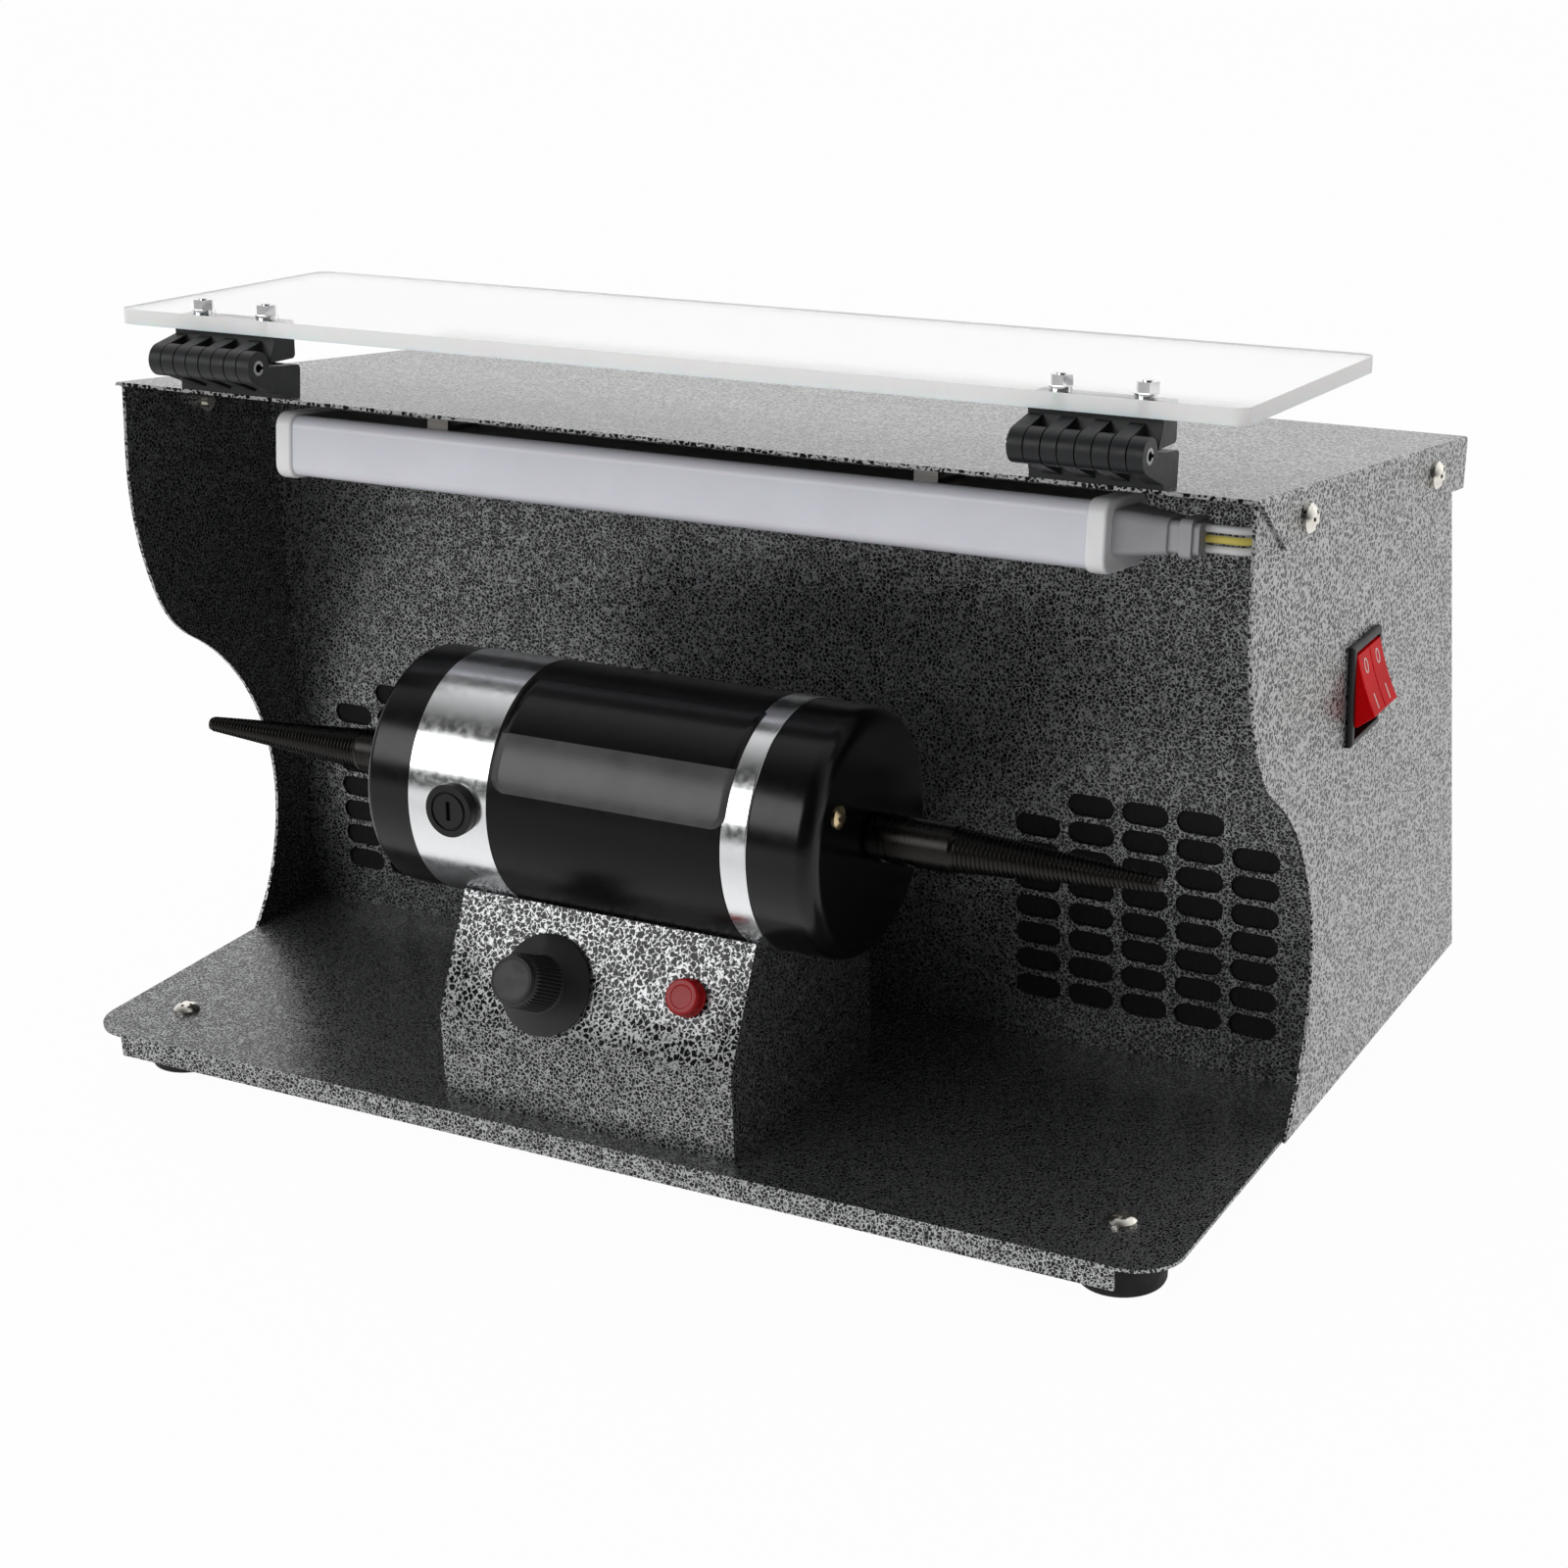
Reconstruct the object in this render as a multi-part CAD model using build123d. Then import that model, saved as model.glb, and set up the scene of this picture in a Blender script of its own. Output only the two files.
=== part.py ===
from build123d import *
from math import cos, radians, sin, sqrt, tan
import os

# All sizes are millimetres. X points right, Y to the back, Z up. The origin lies on the surface that the
# feet stand on, under the centre of the base plate.

# Sheet steel shell
sheet = 1.2
base_width = 400.0
base_depth = 264.0
base_corner_radius = 15.0
base_lip_drop = 8.0
base_lip_inset = 16.0
baffle_setback = 132.3
rear_lean = 8.6

# Side panels: points of the front edge, measured back from the base's front edge and up from its deck
panel_toe = (94.3, -sheet)
panel_belly = (114.3, 52.0)
panel_shoulder = (78.0, 117.5)
panel_throat = (62.0, 137.0)
panel_brow = (54.8, 190.0)
panel_top_setback = 57.0

# Top cover
cover_setback = 55.4
cover_height = 213.8
cover_slope = 8.0
cover_rear_inset = 15.0
cover_lip_drop = 17.0
cover_lip_cut = 26.0
cover_screw_drop = 9.3
cover_screw_front = 41.0
cover_screw_rear = 33.5

# Rubber feet
foot_height = 17.0
foot_radius = 13.5
foot_side_inset = 24.0
foot_front_inset = 25.5
foot_rear_inset = 30.0

# Baffle slots, in columns counted from the middle of the machine outwards
slot_length = 16.2
slot_width = 7.6
slot_pitch_x = 18.77
slot_pitch_z = 9.574
slot_side_room = 99.55
slot_lowest = 17.4
slot_rows = (7, 8, 8, 8, 7)

# Pedestal box and its leaning front panel
pedestal_half_width = 54.0
pedestal_front = 8.7
pedestal_fold_height = 29.7
pedestal_top_front = 27.4
pedestal_top_height = 66.0
pedestal_back = 100.0
pedestal_flange = 10.0

# Motor
motor_setback = 54.3
motor_height = 96.5
motor_radius = 39.8
bracket_left = -64.0
field_left = -34.4
field_right = 49.7
bracket_right = 58.8
motor_reach = 81.0
bracket_wall = 4.0
field_wall = 4.3
cap_wall = 3.0
cap_radius = 39.5
cap_round_left = 2.5
cap_round_right = 6.0
cap_screw_circle = 25.6
cap_screw_angle = 148.0
bearing_radius = 13.0
bearing_width = 9.0
shaft_radius = 5.0
shaft_reach = 106.0
core_left = -28.0
core_right = 32.0
stator_bore = 24.2
armature_radius = 23.4
commutator_radius = 11.0
commutator_length = 16.0
commutator_bars = 16
armature_slots = 12
brush_place = -46.5
brush_cap_radius = 8.6
brush_cap_height = 3.2
brush_lift = 4.0
running_clearance = 0.05

# Tapered spindles
spindle_gap = 0.5
collar_radius = 7.5
collar_length = 28.5
thread_length = 64.6
thread_root_radius = 7.0
thread_tip_radius = 2.6
thread_pitch = 1.45
thread_depth = 0.6
set_screw_radius = 2.0
set_screw_places = (6.5, 15.0)
set_screw_angle = 225.0

# Speed knob and pilot lamp on the leaning panel: across from the middle, and up the slope from the fold
knob_across = -16.5
knob_up = 15.7
knob_skirt_radius = 16.5
knob_radius = 9.0
knob_height = 22.0
knob_lift = 0.6
knob_flutes = 44
pot_shaft_radius = 3.0
pot_radius = 12.0
pilot_across = 34.4
pilot_up = 20.7
pilot_radius = 5.8
pilot_height = 5.0

# LED batten under the cover
led_side_room = 50.0
led_from_front = 19.0
led_depth = 30.0
led_height = 21.0
led_hang = 6.5
led_wall = 1.3
led_skin = 0.4
led_wrap = 5.0
led_web_drop = 4.8
led_cap_length = 6.4
led_clip_place = 88.6
led_clip_width = 8.0
plug_length = 25.0
core_diameter = 2.4
core_pitch = 3.1
lead_bend = 10.0
lead_panel_gap = 6.5

# Shield and its hinges
shield_width = 396.0
shield_length = 110.0
shield_thickness = 5.0
shield_slope = 4.1
shield_overhang = 0.3
shield_corner_radius = 5.0
hinge_place = 153.5
hinge_width = 41.0
hinge_ahead = 11.0
hinge_above = 10.6
hinge_barrel_radius = 5.3
hinge_pin_radius = 2.4
hinge_knuckles = 8
hinge_knuckle_gap = 0.3
hinge_leaf_length = 10.2
hinge_leaf_start = 8.9
hinge_edge_gap = 0.2
hinge_stack = 8.73
hinge_block_low = 0.8
hinge_block_high = 10.5
hinge_corner_radius = 1.5
hinge_screw_seat = 4.0
shield_screw_seat = 4.6
shield_screw_spread = 13.0
shield_screw_radius = 1.75
nut_flange_radius = 3.9
nut_across_flats = 6.0
nut_height = 4.3

# Double rocker switch on the right side panel
switch_setback = 151.7
switch_height = 130.4
bezel_length = 32.5
bezel_width = 26.5
bezel_thickness = 2.0
switch_opening_length = 28.0
switch_opening_width = 21.4
switch_wall = 1.2
switch_body_depth = 29.0
rocker_width = 10.3
rocker_half_length = 9.9
rocker_hip = 12.2
rocker_crest = 11.8
rocker_valley = 11.2
rocker_tilt = 18.0
rocker_pivot_depth = 6.0
rocker_room = 13.5

# Dust side behind the baffle
fan_size = 92.0
fan_depth = 25.0
fan_bore_radius = 43.5
fan_hub_radius = 19.0
fan_blade_radius = 42.0
fan_blades = 7
fan_side_room = 63.0
fan_up = 62.0
fan_screw_spacing = 82.5
guard_wire = 0.9
filter_width = 100.0
filter_tall = 84.0
filter_thick = 10.0
gland_radius = 8.0
gland_reach = 14.0
gland_up = 36.0

# Derived datums
front = -base_depth / 2
rear = base_depth / 2
deck = foot_height + sheet
side_outer = base_width / 2 + sheet
fan_across = base_width / 2 - fan_side_room
slot_first_column = base_width / 2 - slot_side_room
motor_y = front + motor_setback
motor_z = deck + motor_height
cover_edge_y = front + cover_setback
cover_edge_z = deck + cover_height
slope_cos = cos(radians(cover_slope))
slope_sin = sin(radians(cover_slope))
cover_length = (base_depth - cover_setback - cover_rear_inset) / slope_cos
led_length = base_width - 2 * led_side_room
led_middle = led_from_front + led_depth / 2

cover_frame = Plane(origin=(0, cover_edge_y, cover_edge_z), x_dir=(1, 0, 0), z_dir=(0, slope_sin, slope_cos))
pedestal_rise = pedestal_top_height - pedestal_fold_height
pedestal_lean = pedestal_top_front - pedestal_front
pedestal_slant = sqrt(pedestal_rise**2 + pedestal_lean**2)
panel_frame = Plane(
    origin=(0, front + pedestal_front, deck + pedestal_fold_height),
    x_dir=(1, 0, 0),
    z_dir=(0, -pedestal_rise / pedestal_slant, pedestal_lean / pedestal_slant),
)
rear_frame = Plane(
    origin=(0, rear, deck),
    x_dir=(-1, 0, 0),
    z_dir=(0, cos(radians(rear_lean)), sin(radians(rear_lean))),
)
pin_y = cover_edge_y - hinge_ahead * slope_cos + hinge_above * slope_sin
pin_z = cover_edge_z + hinge_ahead * slope_sin + hinge_above * slope_cos
shield_frame = Plane(
    origin=(0, pin_y, pin_z),
    x_dir=(1, 0, 0),
    z_dir=(0, sin(radians(shield_slope)), cos(radians(shield_slope))),
)
switch_y = front + switch_setback
switch_z = deck + switch_height
rocker_pivot_x = side_outer - rocker_pivot_depth


def block(x_low, x_high, y_low, y_high, z_low, z_high):
    """A box between two corners."""
    centre = ((x_low + x_high) / 2, (y_low + y_high) / 2, (z_low + z_high) / 2)
    return Pos(*centre) * Box(x_high - x_low, y_high - y_low, z_high - z_low)


def rod(start, end, radius):
    """A round bar from one point to another."""
    path = Vector(*end) - Vector(*start)
    bar = Cylinder(radius, path.length, align=(Align.CENTER, Align.CENTER, Align.MIN))
    return Plane(origin=start, z_dir=path) * bar


def outline(points):
    """A flat face inside a closed run of straight lines."""
    return make_face(Polyline(*points, close=True))


def side_plate(face, x_low, thickness):
    """A face drawn in Y and Z, made solid from x_low to the right."""
    return Plane.YZ.offset(x_low) * extrude(face, amount=thickness)


def turned(points):
    """A turned piece about the motor's axis, from pairs of place along X and radius."""
    return Pos(0, motor_y, motor_z) * revolve(outline(points), Axis.X)


def turned_ring(x_low, x_high, inner, outer):
    """A plain ring about the motor's axis."""
    return turned([(x_low, inner), (x_low, outer), (x_high, outer), (x_high, inner)])


def around_motor(x, radius, angle):
    """A point at a radius and angle about the motor's axis, counted from the back upwards."""
    return (x, motor_y + radius * cos(radians(angle)), motor_z + radius * sin(radians(angle)))


def cover_underside(y):
    """Height of the cover's lower face above a place along Y."""
    return cover_edge_z - (y - cover_edge_y) * tan(radians(cover_slope)) - sheet / slope_cos


def both_sides(piece):
    """A piece and its mirror image across the middle of the machine."""
    return [piece, mirror(piece, Plane.YZ)]


def group(pieces):
    """Several separate solids as one compound."""
    solids = []
    for piece in pieces:
        solids.extend(piece.solids())
    return Compound(children=solids)


def foot_places():
    """Centres of the four feet."""
    across = base_width / 2 - foot_side_inset
    ends = (front + foot_front_inset, rear - foot_rear_inset)
    return [(side * across, y) for side in (-1, 1) for y in ends]


def saddle_screw_places():
    """Centres of the screws that hold the motor saddles to the base."""
    return [(side * 35.0, motor_y + step) for side in (-1, 1) for step in (-14.0, 14.0)]


def pedestal_screw_places():
    """Centres of the screws through the pedestal's bottom flanges."""
    across = pedestal_half_width - sheet - pedestal_flange / 2
    return [(side * across, front + y) for side in (-1, 1) for y in (24.0, 86.0)]


def base_plate():
    """Base sheet with round front corners and a short lip folded down along the front."""
    plate = block(-base_width / 2, base_width / 2, front, rear, foot_height, deck)
    corners = plate.edges().filter_by(Axis.Z).group_by(Axis.Y)[0]
    plate = fillet(corners, base_corner_radius)
    lip_half = base_width / 2 - base_lip_inset
    plate += block(-lip_half, lip_half, front, front + sheet, deck - base_lip_drop, deck - sheet / 2)
    holes = [Pos(x, y, foot_height) * Cylinder(2.7, 4 * sheet) for x, y in foot_places()]
    fixing = saddle_screw_places() + pedestal_screw_places()
    holes += [Pos(x, y, foot_height) * Cylinder(2.2, 4 * sheet) for x, y in fixing]
    return plate - holes


def panel_face():
    """Outline of a side panel in Y and Z: S-shaped in front, leaning at the back, under the cover on top."""
    toe, belly, shoulder, throat, brow = [
        (front + y, deck + z)
        for y, z in (panel_toe, panel_belly, panel_shoulder, panel_throat, panel_brow)
    ]
    top_y = front + panel_top_setback
    top = (top_y, cover_underside(top_y))
    rise = cover_underside(rear) - deck
    back_run = rise / (1 / tan(radians(rear_lean)) - tan(radians(cover_slope)))
    heel = (rear + sheet * tan(radians(rear_lean)), deck - sheet)
    crown = (rear - back_run, cover_underside(rear - back_run))
    belly_arc = ThreePointArc(toe, belly, shoulder)
    throat_arc = TangentArc(shoulder, throat, tangent=belly_arc % 1)
    brow_arc = TangentArc(throat, brow, tangent=throat_arc % 1)
    rest = Polyline(brow, top, crown, heel, toe)
    return make_face(Curve() + [belly_arc, throat_arc, brow_arc, rest])


def cover_screw_points(x):
    """Centres of the cover's side screws at a place along X."""
    places = (cover_screw_front, cover_length - cover_screw_rear)
    return [cover_frame * Pos(x, y, -cover_screw_drop) for y in places]


def side_panel(side):
    """Side panel; the right one has the cut-out for the switch."""
    x_low = base_width / 2 if side > 0 else -side_outer
    plate = side_plate(panel_face(), x_low, sheet)
    for spot in cover_screw_points(side * side_outer):
        plate -= spot * Rot(0, 90, 0) * Cylinder(2.2, 4 * sheet)
    if side > 0:
        room = 2 * switch_wall + 0.2
        cut_out = Box(4 * sheet, switch_opening_width + room, switch_opening_length + room)
        plate -= Pos(x_low, switch_y, switch_z) * cut_out
    return plate


def top_cover():
    """Sloping cover with a lip down each side, cut back in front, and one along the rear."""
    half = side_outer + sheet
    top = block(-half, half, 0, cover_length, -sheet, 0)
    low = -cover_lip_drop
    lip_points = [(0, 0), (cover_lip_cut, low), (cover_length, low), (cover_length, 0)]
    lip = side_plate(outline(lip_points), side_outer, sheet)
    rear_lip = block(-half, half, cover_length - sheet, cover_length, low, 0)
    shell = top + both_sides(lip) + rear_lip
    round_edges = shell.edges().filter_by(Axis.Y).filter_by(lambda e: e.center().Z > -0.01)
    shell = fillet(round_edges, sheet * 0.8)
    holes = [
        Pos(side * (hinge_place + step), hinge_screw_y(), 0) * Cylinder(2.0, 4 * sheet)
        for side in (-1, 1)
        for step in (-shield_screw_spread, shield_screw_spread)
    ]
    for side in (-1, 1):
        for y in (cover_screw_front, cover_length - cover_screw_rear):
            holes.append(Pos(side * half, y, -cover_screw_drop) * Rot(0, 90, 0) * Cylinder(2.2, 4 * sheet))
    return cover_frame * (shell - holes)


def slot_places():
    """Centres of all baffle slots, as X and height above the deck."""
    places = []
    for column, rows in enumerate(slot_rows):
        for row in range(rows):
            x = slot_first_column + column * slot_pitch_x
            z = slot_lowest + row * slot_pitch_z
            places += [(x, z), (-x, z)]
    return places


def lead_height():
    """Height of the middle core of the LED lead where it runs level."""
    spot = cover_frame * Pos(0, led_middle, plug_drop())
    return spot.position.Z


def lead_y():
    """Place along Y where the LED lead leaves its plug."""
    spot = cover_frame * Pos(0, led_middle, plug_drop())
    return spot.position.Y


def plug_drop():
    """Height of the plug's middle below the cover's upper face, square to it."""
    return -(sheet + led_hang + led_height * 0.45)


def lead_x():
    """Place along X where the LED lead runs back beside the right side panel."""
    return base_width / 2 - lead_panel_gap


def baffle():
    """Upright inner wall with two groups of slots, a wire hole and a flange along its foot."""
    y_face = front + baffle_setback
    tall = cover_underside(y_face + sheet) - deck
    wall = Pos(0, tall / 2) * Rectangle(base_width, tall)
    slots = [Pos(x, z) * SlotOverall(slot_length, slot_width) for x, z in slot_places()]
    wire_hole = SlotOverall(4 * core_pitch, 2.2 * core_pitch, rotation=90)
    face = wall - slots - Pos(lead_x(), lead_height() - deck) * wire_hole
    plate = Plane.XZ.offset(-y_face) * Pos(0, deck) * extrude(face, amount=-sheet)
    foot = block(-base_width / 2, base_width / 2, y_face + sheet, y_face + 12, deck, deck + sheet)
    return plate + foot


def rear_panel():
    """Leaning rear wall with two fan openings and the mains gland hole."""
    rise = cover_underside(rear) - deck
    tall = rise / (cos(radians(rear_lean)) - sin(radians(rear_lean)) * tan(radians(cover_slope))) - sheet
    foot = sheet * tan(radians(rear_lean))
    wall = Pos(0, (tall + foot) / 2) * Rectangle(base_width, tall - foot)
    for side in (-1, 1):
        wall -= Pos(side * fan_across, fan_up) * Circle(fan_bore_radius)
        for place in fan_screw_spots():
            wall -= Pos(side * fan_across + place[0], fan_up + place[1]) * Circle(2.2)
    wall -= Pos(0, gland_up) * Circle(gland_radius)
    return rear_frame * extrude(wall, amount=-sheet)


def fan_screw_spots():
    """The four screw places of a fan about its centre."""
    reach = fan_screw_spacing / 2
    return [(a * reach, b * reach) for a in (-1, 1) for b in (-1, 1)]


def pedestal():
    """Folded box under the motor: upright front, leaning control panel, cradle cut and bottom flanges."""
    outer_points = [
        (pedestal_front, 0),
        (pedestal_front, pedestal_fold_height),
        (pedestal_top_front, pedestal_top_height),
        (pedestal_back, pedestal_top_height),
        (pedestal_back, 0),
    ]
    place = Pos(0, front, deck)
    outer = side_plate(outline(outer_points), -pedestal_half_width, 2 * pedestal_half_width)
    room = pedestal_half_width - sheet
    hollow = offset(outline(outer_points), amount=-sheet, kind=Kind.INTERSECTION)
    inner = side_plate(hollow, -room, 2 * room)
    inner += block(-room, room, pedestal_front + sheet, pedestal_back - sheet, -1, 2 * sheet)
    shell = outer - inner
    flange = block(room - pedestal_flange, room, pedestal_front + sheet, pedestal_back - sheet, 0, sheet)
    shell = place * (shell + both_sides(flange))
    cradle = rod((-motor_reach, motor_y, motor_z), (motor_reach, motor_y, motor_z), motor_radius + 0.1)
    holes = [Pos(x, y, deck) * Cylinder(1.7, 4 * sheet) for x, y in pedestal_screw_places()]
    holes.append(panel_frame * Pos(knob_across, knob_up, 0) * Cylinder(4.6, 6 * sheet))
    holes.append(panel_frame * Pos(pilot_across, pilot_up, 0) * Cylinder(pilot_radius - 0.8, 6 * sheet))
    return shell - cradle - holes


def rubber_feet():
    """Four tapered rubber feet with a recess for the nut from below."""
    foot = Cone(foot_radius, foot_radius + 0.8, foot_height, align=(Align.CENTER, Align.CENTER, Align.MIN))
    bore = Cylinder(2.7, foot_height, align=(Align.CENTER, Align.CENTER, Align.MIN))
    recess = Cylinder(5.2, foot_height * 0.45, align=(Align.CENTER, Align.CENTER, Align.MIN))
    foot = foot - bore - recess
    return group([Pos(x, y, 0) * foot for x, y in foot_places()])


def cross_recess(width, depth):
    """The cross cut of a screw head, opening upwards from the plane of its top."""
    bar = Box(width, width * 0.22, depth, align=(Align.CENTER, Align.CENTER, Align.MAX))
    return bar + Rot(0, 0, 90) * bar


def pan_screw(head_radius, head_height, shank_radius, shank_length):
    """Domed cross-head screw, its seat at the origin and its shank pointing down."""
    bulge = head_height * 0.35
    rim = Line((0, 0), (head_radius, 0))
    wall = Line(rim @ 1, (head_radius, bulge))
    middle = (head_radius * 0.62, head_height * 0.86)
    dome = ThreePointArc(wall @ 1, middle, (0, head_height))
    close = Line(dome @ 1, (0, 0))
    profile = Plane.XZ * make_face(Curve() + [rim, wall, dome, close])
    head = revolve(profile, Axis.Z)
    shank = Cylinder(shank_radius, shank_length, align=(Align.CENTER, Align.CENTER, Align.MAX))
    cut = Pos(0, 0, head_height + 0.01) * cross_recess(head_radius * 1.15, head_height * 0.5)
    return head + shank - cut


def hex_nut(across_flats, height, bore_radius):
    """Hexagon nut standing on the origin."""
    body = extrude(RegularPolygon(across_flats / 2, 6, major_radius=False), amount=height)
    return body - Pos(0, 0, height / 2) * Cylinder(bore_radius, 2 * height)


def foot_screws():
    """Pan-head screws through the base plate and feet, each with its nut in the foot."""
    screw = pan_screw(4.5, 2.6, 2.5, sheet + foot_height * 0.6)
    seat = foot_height * 0.45
    nut = Pos(0, 0, seat - 3.2) * hex_nut(8.0, 3.2, 2.5)
    pieces = []
    for x, y in foot_places():
        pieces += [Pos(x, y, deck) * screw, Pos(x, y, 0) * nut]
    return group(pieces)


def cover_screws():
    """Four domed screws through the cover's side lips with nuts inside the side panels."""
    screw = pan_screw(4.5, 3.0, 2.1, 7.0)
    nut = Pos(0, 0, -2 * sheet - 3.0) * hex_nut(7.0, 3.0, 2.1)
    pieces = []
    for spot in cover_screw_points(side_outer + sheet):
        for piece in (screw, nut):
            pieces += both_sides(spot * Rot(0, 90, 0) * piece)
    return group(pieces)


def base_fixings():
    """Screws that come up through the base into the pedestal's flanges and the motor saddles."""
    short = Rot(180, 0, 0) * pan_screw(3.4, 2.2, 1.6, 2 * sheet + 3)
    long = Rot(180, 0, 0) * pan_screw(4.0, 2.4, 2.1, sheet + 14)
    pieces = [Pos(x, y, foot_height) * short for x, y in pedestal_screw_places()]
    pieces += [Pos(x, y, foot_height) * long for x, y in saddle_screw_places()]
    return group(pieces)


def motor_saddles():
    """Two cast saddles that carry the motor inside the pedestal."""
    half_y = 19.0
    body = block(28.0, 42.0, motor_y - half_y, motor_y + half_y, deck, motor_z - 28.0)
    window = block(27.0, 43.0, motor_y - 9, motor_y + 9, deck + 12, deck + 40)
    cradle = rod((-motor_reach, motor_y, motor_z), (motor_reach, motor_y, motor_z), motor_radius)
    body = body - window - cradle
    for x, y in saddle_screw_places():
        if x > 0:
            body -= Pos(x, y, deck) * Cylinder(2.1, 28)
    return group(both_sides(body))


def end_bracket_left():
    """Aluminium bracket at the brush end: cup, bearing seat and the two brush bores."""
    inner = motor_radius - bracket_wall
    seat = bearing_radius + 3
    seat_end = bracket_left - bearing_width + 2
    points = [
        (bracket_left, motor_radius),
        (field_left, motor_radius),
        (field_left, inner),
        (bracket_left + bracket_wall, inner),
        (bracket_left + bracket_wall, seat),
        (bracket_left + 2, seat),
        (bracket_left + 2, bearing_radius),
        (seat_end, bearing_radius),
        (seat_end, seat),
        (bracket_left, seat),
    ]
    body = turned(points)
    for angle in brush_angles():
        bore_start = around_motor(brush_place, inner - 4, angle)
        body -= rod(bore_start, around_motor(brush_place, motor_radius + 2, angle), 7.3)
    return body - cap_screw_holes(-1)


def end_bracket_right():
    """Thin aluminium bracket at the other end, with its bearing seat."""
    inner = motor_radius - bracket_wall
    seat = bearing_radius + 3
    seat_end = bracket_right + bearing_width - 2
    points = [
        (field_right, motor_radius),
        (bracket_right, motor_radius),
        (bracket_right, seat),
        (seat_end, seat),
        (seat_end, bearing_radius),
        (bracket_right - 2, bearing_radius),
        (bracket_right - 2, seat),
        (bracket_right - bracket_wall, seat),
        (bracket_right - bracket_wall, inner),
        (field_right, inner),
    ]
    return turned(points) - cap_screw_holes(1)


def brush_angles():
    """Angles of the two brushes about the motor's axis: one in front, one behind."""
    return (180.0 - brush_lift, -brush_lift)


def cap_screw_angles():
    """Angles of the two screws of an end cap."""
    return (cap_screw_angle, cap_screw_angle + 180.0)


def cap_screw_holes(side):
    """Tapped holes for the end-cap screws in the bracket on one side."""
    wall = bracket_right if side > 0 else bracket_left
    cuts = []
    for angle in cap_screw_angles():
        start = around_motor(wall - side * 2 * bracket_wall, cap_screw_circle, angle)
        cuts.append(rod(start, around_motor(wall + side, cap_screw_circle, angle), 2.0))
    return cuts


def field_housing():
    """Black centre tube of the motor."""
    return turned_ring(field_left, field_right, motor_radius - field_wall, motor_radius)


def end_cap(side):
    """Black moulded cap with a rounded rim, posts for its screws and a hole for the shaft."""
    wall = bracket_right if side > 0 else bracket_left
    corner = cap_round_right if side > 0 else cap_round_left
    end = side * motor_reach
    hole = shaft_radius + 0.6
    start = (wall, cap_radius)
    turn_in = (end - side * corner, cap_radius)
    turn_out = (end, cap_radius - corner)
    middle = (
        end - side * corner * (1 - cos(radians(45))),
        cap_radius - corner * (1 - sin(radians(45))),
    )
    outer = [Line(start, turn_in), ThreePointArc(turn_in, middle, turn_out)]
    inside = Polyline(
        turn_out,
        (end, hole),
        (end - side * cap_wall, hole),
        (end - side * cap_wall, cap_radius - corner),
        (end - side * corner, cap_radius - cap_wall),
        (wall, cap_radius - cap_wall),
        start,
    )
    shell = Pos(0, motor_y, motor_z) * revolve(make_face(Curve() + outer + [inside]), Axis.X)
    for angle in cap_screw_angles():
        post_start = around_motor(wall, cap_screw_circle, angle)
        post_end = around_motor(end - side * cap_wall / 2, cap_screw_circle, angle)
        shell += rod(post_start, post_end, 4.5)
    for angle in cap_screw_angles():
        far = around_motor(end + side, cap_screw_circle, angle)
        shell -= rod(around_motor(wall - side, cap_screw_circle, angle), far, 2.05)
    return shell


def cap_screws():
    """Two cross-head screws in each end cap."""
    pieces = []
    for side in (-1, 1):
        wall = bracket_right if side > 0 else bracket_left
        length = motor_reach - abs(wall) + bracket_wall - 0.5
        screw = pan_screw(3.7, 1.4, 1.95, length)
        for angle in cap_screw_angles():
            point = around_motor(side * motor_reach, cap_screw_circle, angle)
            pieces.append(Pos(*point) * Rot(0, side * 90, 0) * screw)
    return group(pieces)


def bearings():
    """Ball bearings, each shown as one ring with the shaft running in it."""
    bore = shaft_radius + running_clearance
    left = turned_ring(bracket_left - bearing_width + 2, bracket_left + 2, bore, bearing_radius)
    right = turned_ring(bracket_right - 2, bracket_right + bearing_width - 2, bore, bearing_radius)
    return group([left, right])


def stator_core():
    """Laminated ring with two pole shoes about the armature."""
    outer = motor_radius - field_wall
    ring = turned_ring(core_left, core_right, stator_bore, outer)
    for angle in (0, 180):
        window = Pos(0, motor_y, motor_z) * Rot(angle, 0, 0)
        gap = block(core_left - 1, core_right + 1, -14, 14, 15, stator_bore + 5)
        ring -= window * gap
    return ring


def field_coils():
    """Field coils, seen as bands beyond both ends of the stator."""
    pieces = []
    for x_low, x_high in ((core_left - 5.5, core_left), (core_right, core_right + 5.5)):
        band = turned_ring(x_low, x_high, stator_bore + 2, motor_radius - field_wall - 1.5)
        for side in (-1, 1):
            y_low, y_high = (-50, -8) if side < 0 else (8, 50)
            half = Pos(0, motor_y, motor_z) * block(x_low - 1, x_high + 1, y_low, y_high, -50, 50)
            pieces.append(band & half)
    return group(pieces)


def brush_holders():
    """Insulated tubes that guide the two brushes."""
    pieces = []
    for angle in brush_angles():
        start = around_motor(brush_place, commutator_radius + 2.5, angle)
        end = around_motor(brush_place, motor_radius, angle)
        tube = rod(start, end, 7.25)
        slot = Pos(brush_place, motor_y, motor_z) * Rot(angle, 0, 0) * Pos(0, 30, 0) * Box(7.0, 60, 6.0)
        pieces.append(tube - slot)
    return group(pieces)


def brush_bar(angle, inner, outer, width, height):
    """A square bar pointing outwards from the motor's axis."""
    bar = block(-width / 2, width / 2, inner, outer, -height / 2, height / 2)
    return Pos(brush_place, motor_y, motor_z) * Rot(angle, 0, 0) * bar


def carbon_brushes():
    """Two carbon brushes held just off the commutator."""
    inner = commutator_radius + 0.3
    return group([brush_bar(a, inner, inner + 13, 6.8, 5.8) for a in brush_angles()])


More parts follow.
